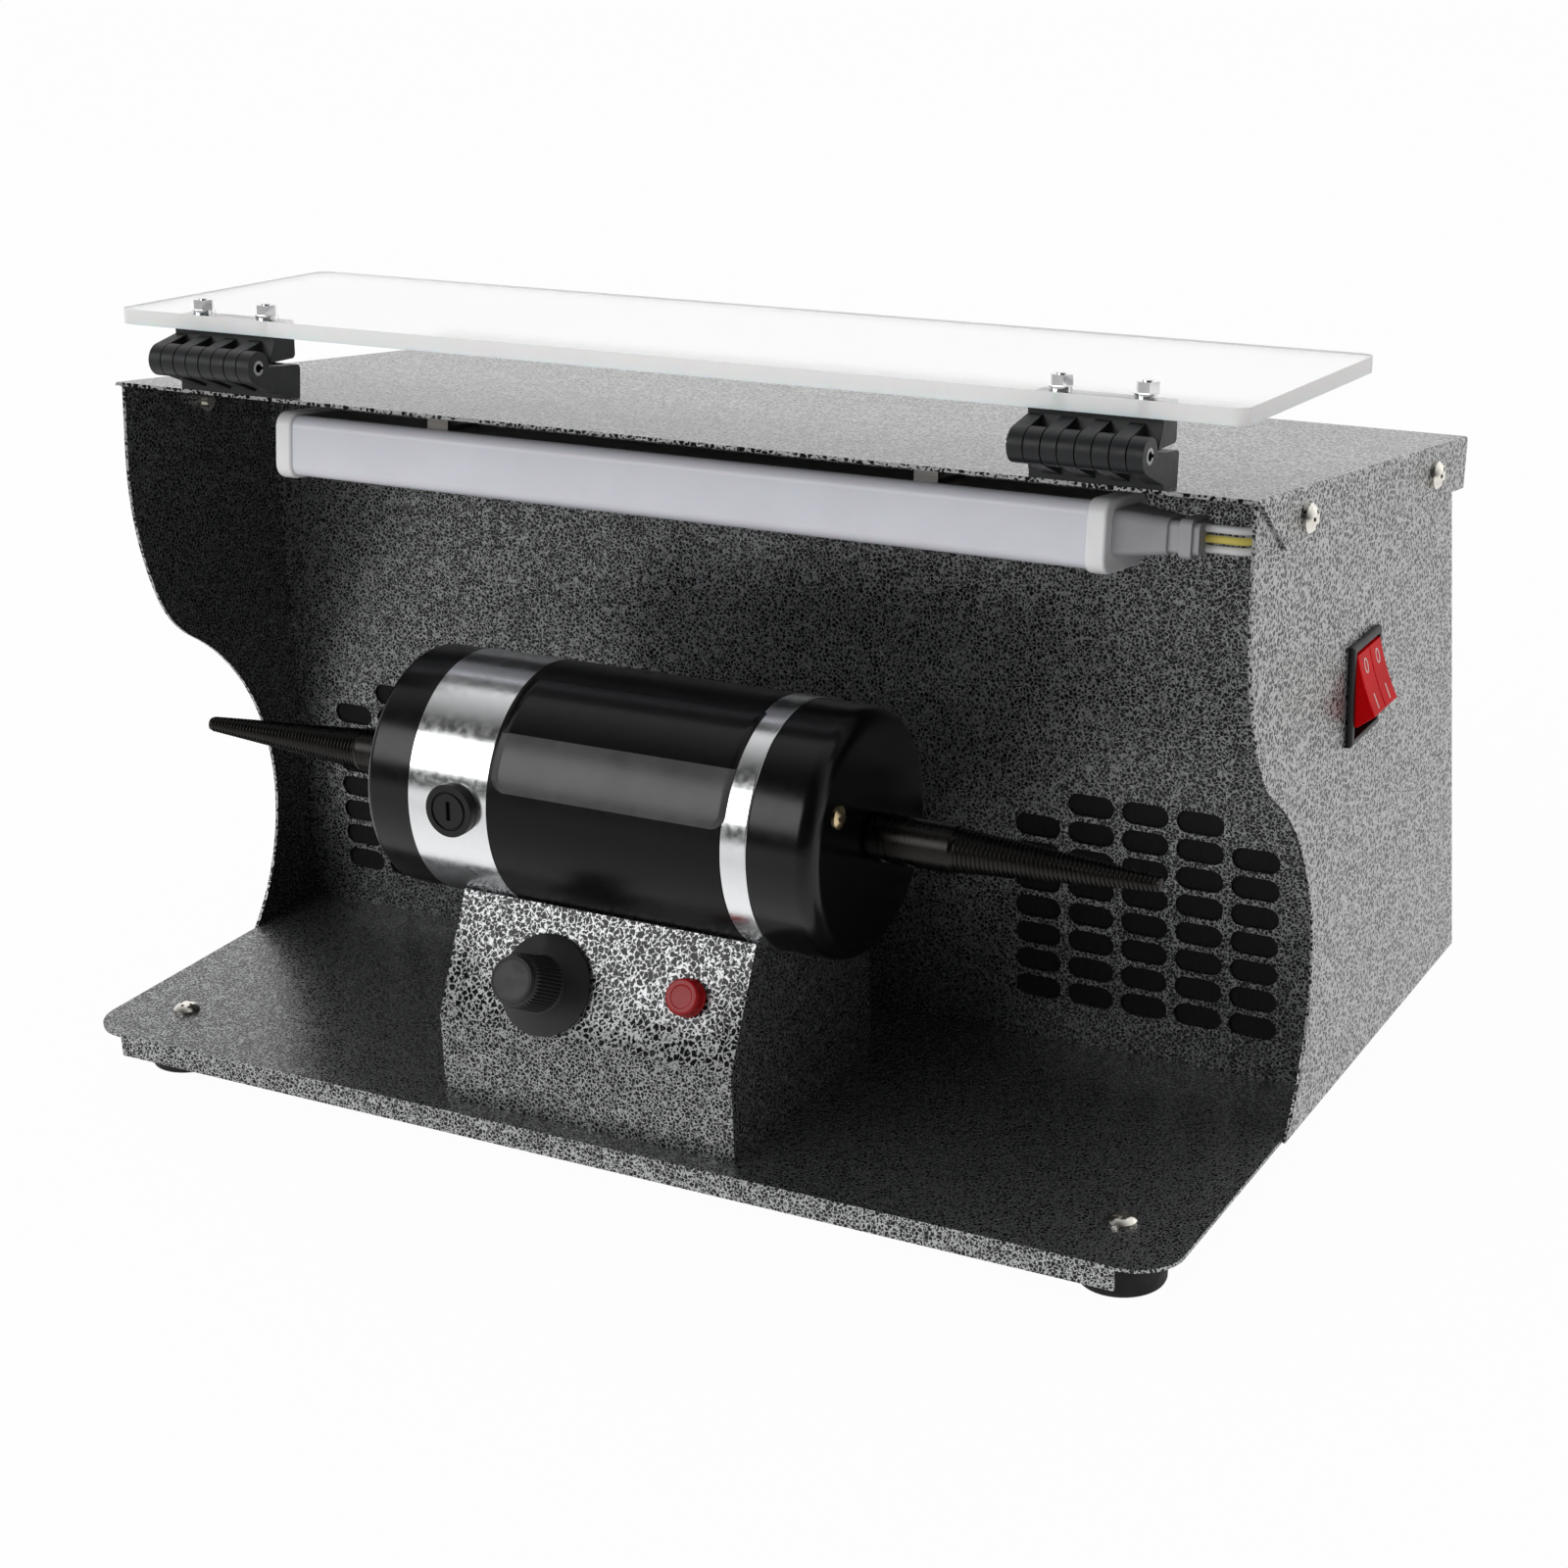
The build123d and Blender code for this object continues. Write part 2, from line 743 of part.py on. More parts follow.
def brush_caps():
    """Round slotted caps that close the brush holders, each with the pusher behind its brush."""
    pieces = []
    for angle in brush_angles():
        seat = around_motor(brush_place, motor_radius, angle)
        stem = rod(around_motor(brush_place, commutator_radius + 13.3, angle), seat, 2.7)
        top = around_motor(brush_place, motor_radius + brush_cap_height, angle)
        head = rod(seat, top, brush_cap_radius)
        rim_low = around_motor(brush_place, motor_radius + brush_cap_height - 0.8, angle)
        ring = rod(rim_low, top, 6.4) - rod(rim_low, top, 5.7)
        slot = brush_bar(angle, motor_radius + brush_cap_height - 1.6, motor_radius + 9, 1.4, 6.2)
        pieces.append(stem + head - ring - slot)
    return group(pieces)


def shaft():
    """Motor shaft from collar to collar, thicker between the bearings."""
    step = shaft_radius + 2
    points = [
        (-shaft_reach, 0),
        (-shaft_reach, shaft_radius),
        (bracket_left + 2.5, shaft_radius),
        (bracket_left + 2.5, step),
        (bracket_right - 2.5, step),
        (bracket_right - 2.5, shaft_radius),
        (shaft_reach, shaft_radius),
        (shaft_reach, 0),
    ]
    return turned(points)


def armature_core():
    """Slotted armature stack."""
    core = turned_ring(core_left, core_right, shaft_radius + 2, armature_radius)
    slot = block(core_left - 1, core_right + 1, -1.4, 1.4, armature_radius - 8, armature_radius + 1)
    turn = 360 / armature_slots
    cuts = [Pos(0, motor_y, motor_z) * Rot(i * turn, 0, 0) * slot for i in range(armature_slots)]
    return core - cuts


def armature_windings():
    """End turns of the armature winding on both sides of the core."""
    inner = shaft_radius + 2
    left = turned_ring(core_left - 7, core_left, inner, armature_radius - 3)
    right = turned_ring(core_right, core_right + 7, inner, armature_radius - 3)
    return group([left, right])


def commutator():
    """Copper commutator with the gaps between its bars."""
    low, high = brush_place - commutator_length / 2, brush_place + commutator_length / 2
    ring = turned_ring(low, high, shaft_radius + 2, commutator_radius)
    gap = block(low - 1, high + 1, -0.3, 0.3, commutator_radius - 1.2, commutator_radius + 1)
    turn = 360 / commutator_bars
    cuts = [Pos(0, motor_y, motor_z) * Rot(i * turn, 0, 0) * gap for i in range(commutator_bars)]
    return ring - cuts


def cooling_fan():
    """Bladed wheel that draws air through the motor."""
    low, high = core_right + 9, core_right + 17
    reach = motor_radius - field_wall - 4
    wheel = turned_ring(high - 1.5, high, shaft_radius + 2, reach)
    wheel += turned_ring(low, high, shaft_radius + 2, shaft_radius + 6)
    blade = block(low, high - 1, -0.7, 0.7, shaft_radius + 5, reach)
    for i in range(9):
        wheel += Pos(0, motor_y, motor_z) * Rot(i * 40, 0, 0) * blade
    return wheel


def spindle_profile():
    """Turned outline of the right spindle: bored collar, then a fine V-thread on a taper."""
    start = motor_reach + spindle_gap
    collar_end = start + collar_length
    tip = collar_end + thread_length
    points = [
        (start, shaft_radius),
        (start, collar_radius - 0.5),
        (start + 0.5, collar_radius),
        (collar_end - 0.8, collar_radius),
        (collar_end, collar_radius - 0.8),
    ]
    turns = int((thread_length - 2.0) / thread_pitch)
    fall = (thread_root_radius - thread_tip_radius) / thread_length
    for turn in range(turns):
        x = collar_end + turn * thread_pitch
        crest = thread_root_radius - turn * thread_pitch * fall
        points.append((x + thread_pitch * 0.35, crest - thread_depth))
        points.append((x + thread_pitch * 0.75, crest))
        points.append((x + thread_pitch * 0.95, crest))
    points += [(tip - 0.8, thread_tip_radius), (tip, thread_tip_radius - 1.0), (tip, 0), (shaft_reach, 0)]
    points.append((shaft_reach, shaft_radius))
    return points


def set_screw_spots():
    """Places along X of the set screws in the right spindle's collar."""
    return [motor_reach + spindle_gap + place for place in set_screw_places]


def right_spindle():
    """Right tapered spindle with the two set-screw holes in its collar."""
    body = turned(spindle_profile())
    for x in set_screw_spots():
        start = around_motor(x, shaft_radius, set_screw_angle)
        body -= rod(start, around_motor(x, collar_radius + 1, set_screw_angle), set_screw_radius)
    return body


def left_spindle():
    """Left tapered spindle, the right one's mirror image."""
    return mirror(right_spindle(), Plane.YZ)


def set_screws():
    """Hollow-ended set screws, two in each collar."""
    pieces = []
    for x in set_screw_spots():
        start = around_motor(x, shaft_radius, set_screw_angle)
        end = around_motor(x, collar_radius - 0.6, set_screw_angle)
        socket = around_motor(x, shaft_radius + 0.8, set_screw_angle)
        screw = rod(start, end, set_screw_radius) - rod(socket, end, set_screw_radius * 0.5)
        pieces += both_sides(screw)
    return group(pieces)


def speed_knob():
    """Skirted knob with a fluted grip and a blind bore for the potentiometer's shaft."""
    skirt_points = [
        (0, knob_lift),
        (knob_skirt_radius, knob_lift),
        (knob_skirt_radius, knob_lift + 1.2),
        (knob_radius + 3, knob_lift + 4.2),
        (0, knob_lift + 4.2),
    ]
    skirt = revolve(Plane.XZ * outline(skirt_points), Axis.Z)
    rim = []
    for i in range(2 * knob_flutes):
        reach = knob_radius if i % 2 else knob_radius - 0.5
        turn = radians(i * 180 / knob_flutes)
        rim.append((reach * cos(turn), reach * sin(turn)))
    grip = Pos(0, 0, knob_lift + 3) * extrude(outline(rim), amount=knob_height - knob_lift - 4)
    crown = Pos(0, 0, knob_height - 1.5) * Cylinder(
        knob_radius - 1.2, 1.5, align=(Align.CENTER, Align.CENTER, Align.MIN)
    )
    knob = skirt + grip + crown
    knob -= Pos(0, 0, knob_lift) * Cylinder(7.6, 5.2, align=(Align.CENTER, Align.CENTER, Align.CENTER))
    knob -= Cylinder(pot_shaft_radius, 2 * (knob_height - 5))
    return panel_frame * Pos(knob_across, knob_up, 0) * knob


def potentiometer():
    """Body, threaded bush and nut of the speed potentiometer, fixed to the leaning panel."""
    body = Pos(0, 0, -sheet) * Cylinder(pot_radius, 9, align=(Align.CENTER, Align.CENTER, Align.MAX))
    bush = Pos(0, 0, -sheet - 4) * Cylinder(4.5, sheet + 6.4, align=(Align.CENTER, Align.CENTER, Align.MIN))
    nut = hex_nut(11.0, 2.0, 4.0)
    tags = block(-6, 6, -pot_radius - 6, -pot_radius + 2, -sheet - 5, -sheet - 4)
    bore = Cylinder(pot_shaft_radius + running_clearance, 60)
    return panel_frame * Pos(knob_across, knob_up, 0) * (body + bush + nut + tags - bore)


def pot_shaft():
    """Shaft of the potentiometer, fixed in the knob."""
    bar = Pos(0, 0, -sheet - 8) * Cylinder(
        pot_shaft_radius, sheet + 8 + knob_height - 5, align=(Align.CENTER, Align.CENTER, Align.MIN)
    )
    return panel_frame * Pos(knob_across, knob_up, 0) * bar


def pilot_lens():
    """Red pilot lens: fluted flange and flat-topped dome."""
    rim = []
    flutes = 24
    for i in range(2 * flutes):
        reach = pilot_radius + (0.8 if i % 2 else 0.35)
        turn = radians(i * 180 / flutes)
        rim.append((reach * cos(turn), reach * sin(turn)))
    flange = extrude(outline(rim), amount=pilot_height - 2.2)
    dome = Cylinder(pilot_radius, pilot_height, align=(Align.CENTER, Align.CENTER, Align.MIN))
    dome = fillet(dome.edges().sort_by(Axis.Z)[-1], 0.6)
    return panel_frame * Pos(pilot_across, pilot_up, 0) * (flange + dome)


def pilot_body():
    """Lamp body behind the panel with its nut."""
    low = Align.CENTER, Align.CENTER, Align.MAX
    stem = Cylinder(pilot_radius - 0.9, 14, align=low)
    nut = Pos(0, 0, -sheet - 3) * hex_nut(13.0, 3.0, pilot_radius - 1.5)
    return panel_frame * Pos(pilot_across, pilot_up, 0) * (stem + nut)


def control_board():
    """Speed control board on spacers against the pedestal's rear wall."""
    wall = front + pedestal_back - sheet
    face = wall - 7.0
    board = block(-40, 40, face - 1.6, face, deck + 8, deck + 50)
    capacitor = rod((-24, face - 1.6, deck + 20), (-24, face - 14, deck + 20), 6.5)
    choke = rod((22, face - 1.6, deck + 22), (22, face - 9, deck + 22), 9.0)
    sink = block(-8, 8, face - 12, face - 1.6, deck + 30, deck + 48)
    for step in (-5, 0, 5):
        sink -= block(step - 1.2, step + 1.2, face - 13, face - 4, deck + 29, deck + 49)
    board = board + capacitor + choke + sink
    spacers = [
        rod((x, face, deck + z), (x, wall, deck + z), 3.0) for x in (-36, 36) for z in (12, 46)
    ]
    return group([board] + spacers)


def led_section(inset):
    """Cross-section of the LED batten in cover coordinates, with its lower front edge well rounded."""
    low = -(sheet + led_hang + led_height) + inset
    high = -(sheet + led_hang) - inset
    near, far = led_from_front + inset, led_from_front + led_depth - inset
    face = outline([(near, low), (far, low), (far, high), (near, high)])
    return fillet(face.vertices(), 4.5 - min(inset, 3.0))


def led_span():
    """Half length of the channel between the end caps."""
    return led_length / 2 - led_cap_length


def led_tube():
    """The batten's thin wall all round, between the end caps."""
    half = led_span()
    return side_plate(led_section(led_skin) - led_section(led_skin + led_wall), -half, 2 * half)


def led_back():
    """Room in the top of the batten where its aluminium channel shows."""
    half = led_span()
    near, far = led_from_front + led_wrap, led_from_front + led_depth - led_wrap
    return block(-half, half, near, far, -(sheet + led_hang + 2 * led_wall), 0)


def led_channel():
    """Aluminium back of the batten: top strip, two legs and the web that holds the board."""
    half = led_span()
    web_top = -(sheet + led_hang + led_web_drop)
    strip = led_tube() & led_back()
    for y in (led_from_front + led_wrap, led_from_front + led_depth - led_wrap - led_wall):
        strip += block(-half, half, y, y + led_wall, web_top, -(sheet + led_hang + led_skin))
    near = led_from_front + led_skin + led_wall
    far = led_from_front + led_depth - led_skin - led_wall
    web = block(-half, half, near, far, web_top - led_wall, web_top)
    return cover_frame * (strip + web)


def led_diffuser():
    """Milky cover of the batten, wrapped over both upper edges as far as the channel."""
    return cover_frame * (led_tube() - led_back())


def led_board():
    """Strip board with its LEDs, under the channel's web."""
    half = led_span() - 2
    top = -(sheet + led_hang + led_web_drop) - led_wall
    middle = led_middle
    board = block(-half, half, middle - 6, middle + 6, top - 1.2, top)
    count = 24
    pitch = 2 * half / count
    for i in range(count):
        x = -half + (i + 0.5) * pitch
        board += block(x - 1.8, x + 1.8, middle - 1.6, middle + 1.6, top - 2.0, top - 1.1)
    return cover_frame * board


def led_end_caps():
    """White end caps of the batten; the right one has the socket for the plug."""
    cap = side_plate(led_section(-0.6), led_span(), led_cap_length)
    right = cap
    left = mirror(cap, Plane.YZ)
    return group([cover_frame * left, cover_frame * right])


def led_clips():
    """Two spring clips, spot-welded under the cover, that carry the batten's channel."""
    half = led_clip_width / 2
    low = -(sheet + led_hang + led_skin)
    pieces = []
    for side in (-1, 1):
        x = side * led_clip_place
        near, far = led_middle - 9, led_middle + 9
        clip = block(x - half, x + half, near, far, low, -sheet)
        clip -= block(x - half - 1, x + half + 1, near + sheet, far - sheet, low + sheet, -2 * sheet)
        pieces.append(cover_frame * clip)
    return group(pieces)


def led_plug():
    """Tapered plug on the right end cap with its ribbed strain relief."""
    start = led_length / 2
    middle = Pos(led_middle, plug_drop())
    wide = Plane.YZ.offset(start) * middle * RectangleRounded(22, 14, 3)
    narrow = Plane.YZ.offset(start + plug_length * 0.62) * middle * RectangleRounded(14, 11, 3)
    body = loft([wide, narrow])
    neck = side_plate(middle * RectangleRounded(12, 9.6, 2), start + plug_length * 0.6, plug_length * 0.4)
    collar = side_plate(middle * RectangleRounded(14, 11.5, 2), start + plug_length * 0.76, 4.0)
    return cover_frame * (body + neck + collar)


def lead_start():
    """Where the lead leaves the plug."""
    return led_length / 2 + plug_length


def led_lead():
    """Three cores from the plug, back beside the panel, through the baffle and down to the switch."""
    pieces = []
    top = switch_z + switch_opening_length / 2 + switch_wall
    for core in (-1, 0, 1):
        step = core * core_pitch
        x, y, z = lead_x(), lead_y(), lead_height() + step
        path = FilletPolyline(
            (lead_start(), y, z),
            (x, y, z),
            (x, switch_y + step, z),
            (x, switch_y + step, top),
            radius=lead_bend,
        )
        profile = Plane(origin=path @ 0, z_dir=path % 0) * Circle(core_diameter / 2)
        pieces.append(sweep(profile, path=path))
    return group(pieces)


def lead_grommet():
    """Rubber grommet round the lead in the baffle."""
    y_face = front + baffle_setback
    tall, wide = 4 * core_pitch, 2.2 * core_pitch
    hole = SlotOverall(2 * core_pitch + core_diameter + 1.0, core_diameter + 0.8, rotation=90)
    lip = SlotOverall(tall + 4, wide + 4, rotation=90) - hole
    waist = SlotOverall(tall, wide, rotation=90) - hole
    place = Plane.XZ.offset(-y_face) * Pos(lead_x(), lead_height(), 0)
    body = extrude(lip, amount=1.6) + extrude(waist, amount=-sheet)
    return place * (body + Pos(0, 0, -sheet) * extrude(lip, amount=-1.6))


def knuckle_span(index):
    """Low and high X of one hinge knuckle about the hinge's middle."""
    pitch = (hinge_width + hinge_knuckle_gap) / hinge_knuckles
    low = -hinge_width / 2 + index * pitch
    return low, low + pitch - hinge_knuckle_gap


def hinge_screw_y():
    """Place of a hinge's screws along the cover, back from its front edge."""
    return hinge_edge_gap + hinge_leaf_length * 0.5


def rounded_corner(face, y, z):
    """A flat face with the corner nearest to a point rounded."""
    corner = face.vertices().sort_by_distance((y, z, 0))[0]
    return fillet(corner, hinge_corner_radius)


def lower_leaf():
    """Lower hinge leaf on the cover: block, four arms and their knuckles, about x = 0."""
    half = hinge_width / 2
    rear_edge = hinge_edge_gap + hinge_leaf_length
    notch = -hinge_ahead + hinge_barrel_radius + 1.2
    strip = outline([
        (hinge_edge_gap, 0),
        (rear_edge, 0),
        (rear_edge, hinge_block_high),
        (notch, hinge_block_high),
        (hinge_edge_gap, 2.0),
    ])
    leaf = side_plate(rounded_corner(strip, rear_edge, hinge_block_high), -half, hinge_width)
    arm = outline([
        (-hinge_ahead, hinge_block_high),
        (notch + 2, hinge_block_high),
        (hinge_edge_gap + 2, 1.5),
        (hinge_edge_gap, 1.5),
        (-hinge_ahead - 0.9, hinge_above - hinge_barrel_radius),
    ])
    barrel = Pos(-hinge_ahead, hinge_above) * Circle(hinge_barrel_radius)
    for index in range(1, hinge_knuckles, 2):
        low, high = knuckle_span(index)
        leaf += side_plate(arm + barrel, low, high - low)
    leaf -= Pos(0, -hinge_ahead, hinge_above) * Rot(0, 90, 0) * Cylinder(hinge_pin_radius, hinge_width + 2)
    for side in (-1, 1):
        spot = Pos(side * shield_screw_spread, hinge_screw_y(), hinge_block_high)
        leaf -= spot * Cylinder(1.9, 60)
        leaf -= spot * Cylinder(3.8, 2 * (hinge_block_high - hinge_screw_seat))
    return leaf


def upper_leaf():
    """Upper hinge leaf under the shield, in the shield's frame about x = 0."""
    half = hinge_width / 2
    start, end = hinge_leaf_start, hinge_leaf_start + hinge_leaf_length
    notch = hinge_barrel_radius + 0.6
    strip = outline([
        (start, hinge_stack),
        (end, hinge_stack),
        (end, hinge_block_low),
        (notch, hinge_block_low),
        (start, hinge_stack - 1.5),
    ])
    leaf = side_plate(rounded_corner(strip, end, hinge_block_low), -half, hinge_width)
    arm = outline([
        (-0.9, hinge_barrel_radius - 0.1),
        (start, hinge_stack - 1.5),
        (start + 2, hinge_stack - 1.5),
        (notch + 2, hinge_block_low),
        (0, hinge_block_low),
    ])
    barrel = Circle(hinge_barrel_radius)
    for index in range(0, hinge_knuckles, 2):
        low, high = knuckle_span(index)
        leaf += side_plate(arm + barrel, low, high - low)
    bore = hinge_pin_radius + running_clearance
    leaf -= Rot(0, 90, 0) * Cylinder(bore, hinge_width + 2)
    for side in (-1, 1):
        spot = Pos(side * shield_screw_spread, shield_screw_y(), shield_screw_seat)
        leaf -= spot * Cylinder(shield_screw_radius, 60)
        leaf -= spot * Cylinder(3.8, 20, align=(Align.CENTER, Align.CENTER, Align.MAX))
    return leaf


def shield_screw_y():
    """Place of the shield screws behind the hinge pin, in the shield's frame."""
    return hinge_leaf_start + hinge_leaf_length * 0.6


def at_hinges(piece, frame):
    """A piece repeated at the two hinge places in a frame."""
    return group([frame * Pos(side * hinge_place, 0, 0) * piece for side in (-1, 1)])


def hinge_pins():
    """Rolled spring pins held by the lower leaves."""
    length = hinge_width + 1.5
    pin = Rot(0, 90, 0) * Cylinder(hinge_pin_radius, length) - Rot(0, 90, 0) * Cylinder(
        hinge_pin_radius - 1.0, length + 1
    )
    pin -= block(-length, length, 0, hinge_pin_radius * 2, -0.5, 0.5)
    return at_hinges(Pos(-0.75, -hinge_ahead, hinge_above) * pin, cover_frame)


def hinge_screws():
    """Screws that hold the lower leaves, sunk in the leaf and tapped into the cover."""
    screw = pan_screw(3.5, 2.2, 1.85, hinge_screw_seat + sheet + 0.5)
    pieces = [Pos(side * shield_screw_spread, hinge_screw_y(), hinge_screw_seat) * screw for side in (-1, 1)]
    return at_hinges(Compound(children=pieces), cover_frame)


def shield():
    """Clear acrylic panel with the four screw holes."""
    start = hinge_leaf_start - shield_overhang
    half = shield_width / 2
    panel = block(-half, half, start, start + shield_length, hinge_stack, hinge_stack + shield_thickness)
    panel = fillet(panel.edges().filter_by(Axis.Z), shield_corner_radius)
    for side in (-1, 1):
        for step in (-shield_screw_spread, shield_screw_spread):
            spot = Pos(side * hinge_place + step, shield_screw_y(), hinge_stack)
            panel -= spot * Cylinder(shield_screw_radius, 4 * shield_thickness)
    return shield_frame * panel


def shield_screws():
    """Screws up through the upper leaves and the shield."""
    length = hinge_stack - shield_screw_seat + shield_thickness + nut_height + 0.4
    screw = Rot(180, 0, 0) * pan_screw(3.6, 2.0, shield_screw_radius, length)
    spots = [Pos(side * shield_screw_spread, shield_screw_y(), shield_screw_seat) for side in (-1, 1)]
    return at_hinges(Compound(children=[spot * screw for spot in spots]), shield_frame)


def shield_nuts():
    """Flanged nuts on top of the shield."""
    seat = hinge_stack + shield_thickness
    flange = Cylinder(nut_flange_radius, 1.1, align=(Align.CENTER, Align.CENTER, Align.MIN))
    nut = flange + hex_nut(nut_across_flats, nut_height, shield_screw_radius)
    nut -= Cylinder(shield_screw_radius, 20)
    pieces = [Pos(side * shield_screw_spread, shield_screw_y(), seat) * nut for side in (-1, 1)]
    return at_hinges(Compound(children=pieces), shield_frame)


def switch_housing():
    """Bezel and body of the double rocker switch, with the axle of the rockers and its tabs."""
    bezel = block(0, bezel_thickness, -bezel_width / 2, bezel_width / 2, -bezel_length / 2, bezel_length / 2)
    bezel = chamfer(bezel.faces().sort_by(Axis.X)[-1].edges(), 0.7)
    half_y = switch_opening_width / 2 + switch_wall
    half_z = switch_opening_length / 2 + switch_wall
    body = block(-switch_body_depth, 0.5, -half_y, half_y, -half_z, half_z)
    housing = bezel + body
    room_y, room_z = switch_opening_width / 2, switch_opening_length / 2
    housing -= block(-rocker_room, bezel_thickness + 1, -room_y, room_y, -room_z, room_z)
    housing += rod((-rocker_pivot_depth, -room_y - 0.5, 0), (-rocker_pivot_depth, room_y + 0.5, 0), 1.2)
    for y in (-5.5, 5.5):
        for z in (-9, 0, 9):
            tab = block(-switch_body_depth - 8, -switch_body_depth + 1, y - 0.4, y + 0.4, z - 2.4, z + 2.4)
            housing += tab
    return Pos(side_outer, switch_y, switch_z) * housing


def rocker(offset):
    """One red rocker with a hollow face, its upper end pressed in."""
    end = rocker_half_length
    underside = Polyline(
        (end, rocker_crest),
        (rocker_hip, 5.0),
        (9.0, -3.5),
        (-9.0, -3.5),
        (-rocker_hip, 5.0),
        (-end, rocker_crest),
    )
    face_arc = ThreePointArc((-end, rocker_crest), (0, rocker_valley), (end, rocker_crest))
    profile = make_face(Curve() + [underside, face_arc])
    profile -= Circle(1.2 + running_clearance)
    body = extrude(profile, amount=rocker_width / 2, both=True)
    upright = Plane(origin=(0, 0, 0), x_dir=(0, 0, 1), z_dir=(0, 1, 0)) * body
    place = Pos(rocker_pivot_x, switch_y + offset, switch_z)
    return place * Rot(0, -rocker_tilt, 0) * upright


def rocker_offset():
    """Half the distance between the middles of the two rockers."""
    return (rocker_width + 0.4) / 2


def fan_place(side):
    """Frame of one fan on the rear panel's inner face."""
    return rear_frame * Pos(-side * fan_across, fan_up, -sheet)


def fan_frames():
    """Square fan frames with their struts and hub boss."""
    pieces = []
    for side in (-1, 1):
        frame = extrude(RectangleRounded(fan_size, fan_size, 5) - Circle(fan_bore_radius), amount=-fan_depth)
        for x, y in fan_screw_spots():
            frame -= Pos(x, y, 0) * Cylinder(2.2, 3 * fan_depth)
        for turn in (30, 120, 210, 300):
            frame += Rot(0, 0, turn) * block(14, fan_bore_radius + 1, -2, 2, -4, -1)
        frame += Pos(0, 0, -1) * Cylinder(17, 3, align=(Align.CENTER, Align.CENTER, Align.MAX))
        frame += Pos(0, 0, -2) * Cylinder(3.5, 12, align=(Align.CENTER, Align.CENTER, Align.MAX))
        bore = 1.5 + running_clearance
        frame -= Pos(0, 0, -3) * Cylinder(bore, 30, align=(Align.CENTER, Align.CENTER, Align.MAX))
        pieces.append(fan_place(side) * frame)
    return group(pieces)


def fan_rotor(side):
    """Fan rotor: hub cup, twisted blades and the pin that runs in the frame's boss."""
    hanging = Align.CENTER, Align.CENTER, Align.MAX
    hub = Pos(0, 0, -5.5) * Cylinder(fan_hub_radius, 17, align=hanging)
    hub -= Pos(0, 0, -5) * Cylinder(fan_hub_radius - 1.6, 14.5, align=hanging)
    pin = Pos(0, 0, -4) * Cylinder(1.5, 18, align=hanging)
    rotor = hub + pin
    blade = Pos((fan_hub_radius + fan_blade_radius) / 2 - 0.6, 0, -14) * Rot(38, 0, 0) * Box(
        fan_blade_radius - fan_hub_radius + 1.0, 21, 1.6
    )
    ring = Pos(0, 0, -14) * (Cylinder(fan_blade_radius, 14.5) - Cylinder(fan_hub_radius - 1.0, 15))
    blade = blade & ring
    for i in range(fan_blades):
        rotor += Rot(0, 0, i * 360 / fan_blades) * blade
    return fan_place(side) * rotor


def fan_guards():
    """Wire finger guards outside the rear panel."""
    wire = guard_wire
    pieces = []
    for side in (-1, 1):
        level = sheet + 3 * wire
        guard = Torus(fan_bore_radius - 2, wire)
        for reach in (12.0, 22.0, 32.0):
            guard += Torus(reach, wire)
        for turn in (45, 135):
            arm = Rot(0, 0, turn) * Rot(0, 90, 0) * Cylinder(wire, sqrt(2) * fan_screw_spacing - 8)
            guard += Pos(0, 0, -wire * 1.2) * arm
        for x, y in fan_screw_spots():
            eye = Pos(x, y, -wire * 1.2) * (Cylinder(4.4, 1.5 * wire) - Cylinder(2.2, 4 * wire))
            guard += eye
        pieces.append(fan_place(side) * Pos(0, 0, level) * guard)
    return group(pieces)


def fan_screws():
    """Screws through guard, rear panel and fan."""
    pieces = []
    seat = sheet + guard_wire * (3 - 1.2 + 0.75)
    screw = pan_screw(3.8, 2.2, 2.0, seat + fan_depth - 6)
    for side in (-1, 1):
        for x, y in fan_screw_spots():
            pieces.append(fan_place(side) * Pos(x, y, seat) * screw)
    return group(pieces)


def filter_middle():
    """Height of the filters' middle above the deck: the middle of the slot group."""
    return slot_lowest + (max(slot_rows) - 1) * slot_pitch_z / 2


def filter_pads():
    """Dust filter pads behind the slots."""
    x = slot_first_column + 2 * slot_pitch_x
    y = front + baffle_setback + sheet + filter_thick / 2
    z = deck + filter_middle()
    pad = Pos(x, y, z) * Box(filter_width, filter_thick, filter_tall)
    return group(both_sides(pad))


def filter_frames():
    """Channel frames that hold the filter pads to the baffle."""
    x = slot_first_column + 2 * slot_pitch_x
    y = front + baffle_setback + sheet
    z = deck + filter_middle()
    tray = Box(filter_width + 2 * sheet, filter_thick + sheet, filter_tall + 2 * sheet)
    tray = Pos(0, (filter_thick + sheet) / 2, 0) * tray
    tray -= Pos(0, filter_thick / 2, 0) * Box(filter_width, filter_thick, filter_tall)
    tray -= Box(filter_width - 10, 4 * filter_thick, filter_tall - 10)
    return group(both_sides(Pos(x, y, z) * tray))


def cable_gland():
    """Mains cable gland on the rear panel with its lock nut inside."""
    body = Cylinder(gland_radius - 0.2, 12, align=(Align.CENTER, Align.CENTER, Align.MAX))
    collar = extrude(RegularPolygon(gland_radius + 1.5, 6, major_radius=False), amount=4)
    nose = Pos(0, 0, 4) * Cone(gland_radius, gland_radius - 2.5, gland_reach - 4, align=(
        Align.CENTER, Align.CENTER, Align.MIN))
    gland = body + collar + nose - Cylinder(3.7, 80)
    nut = Pos(0, 0, -sheet - 4) * hex_nut(2 * gland_radius + 4, 4, gland_radius - 0.2)
    place = rear_frame * Pos(0, gland_up, 0)
    return group([place * gland, place * nut])


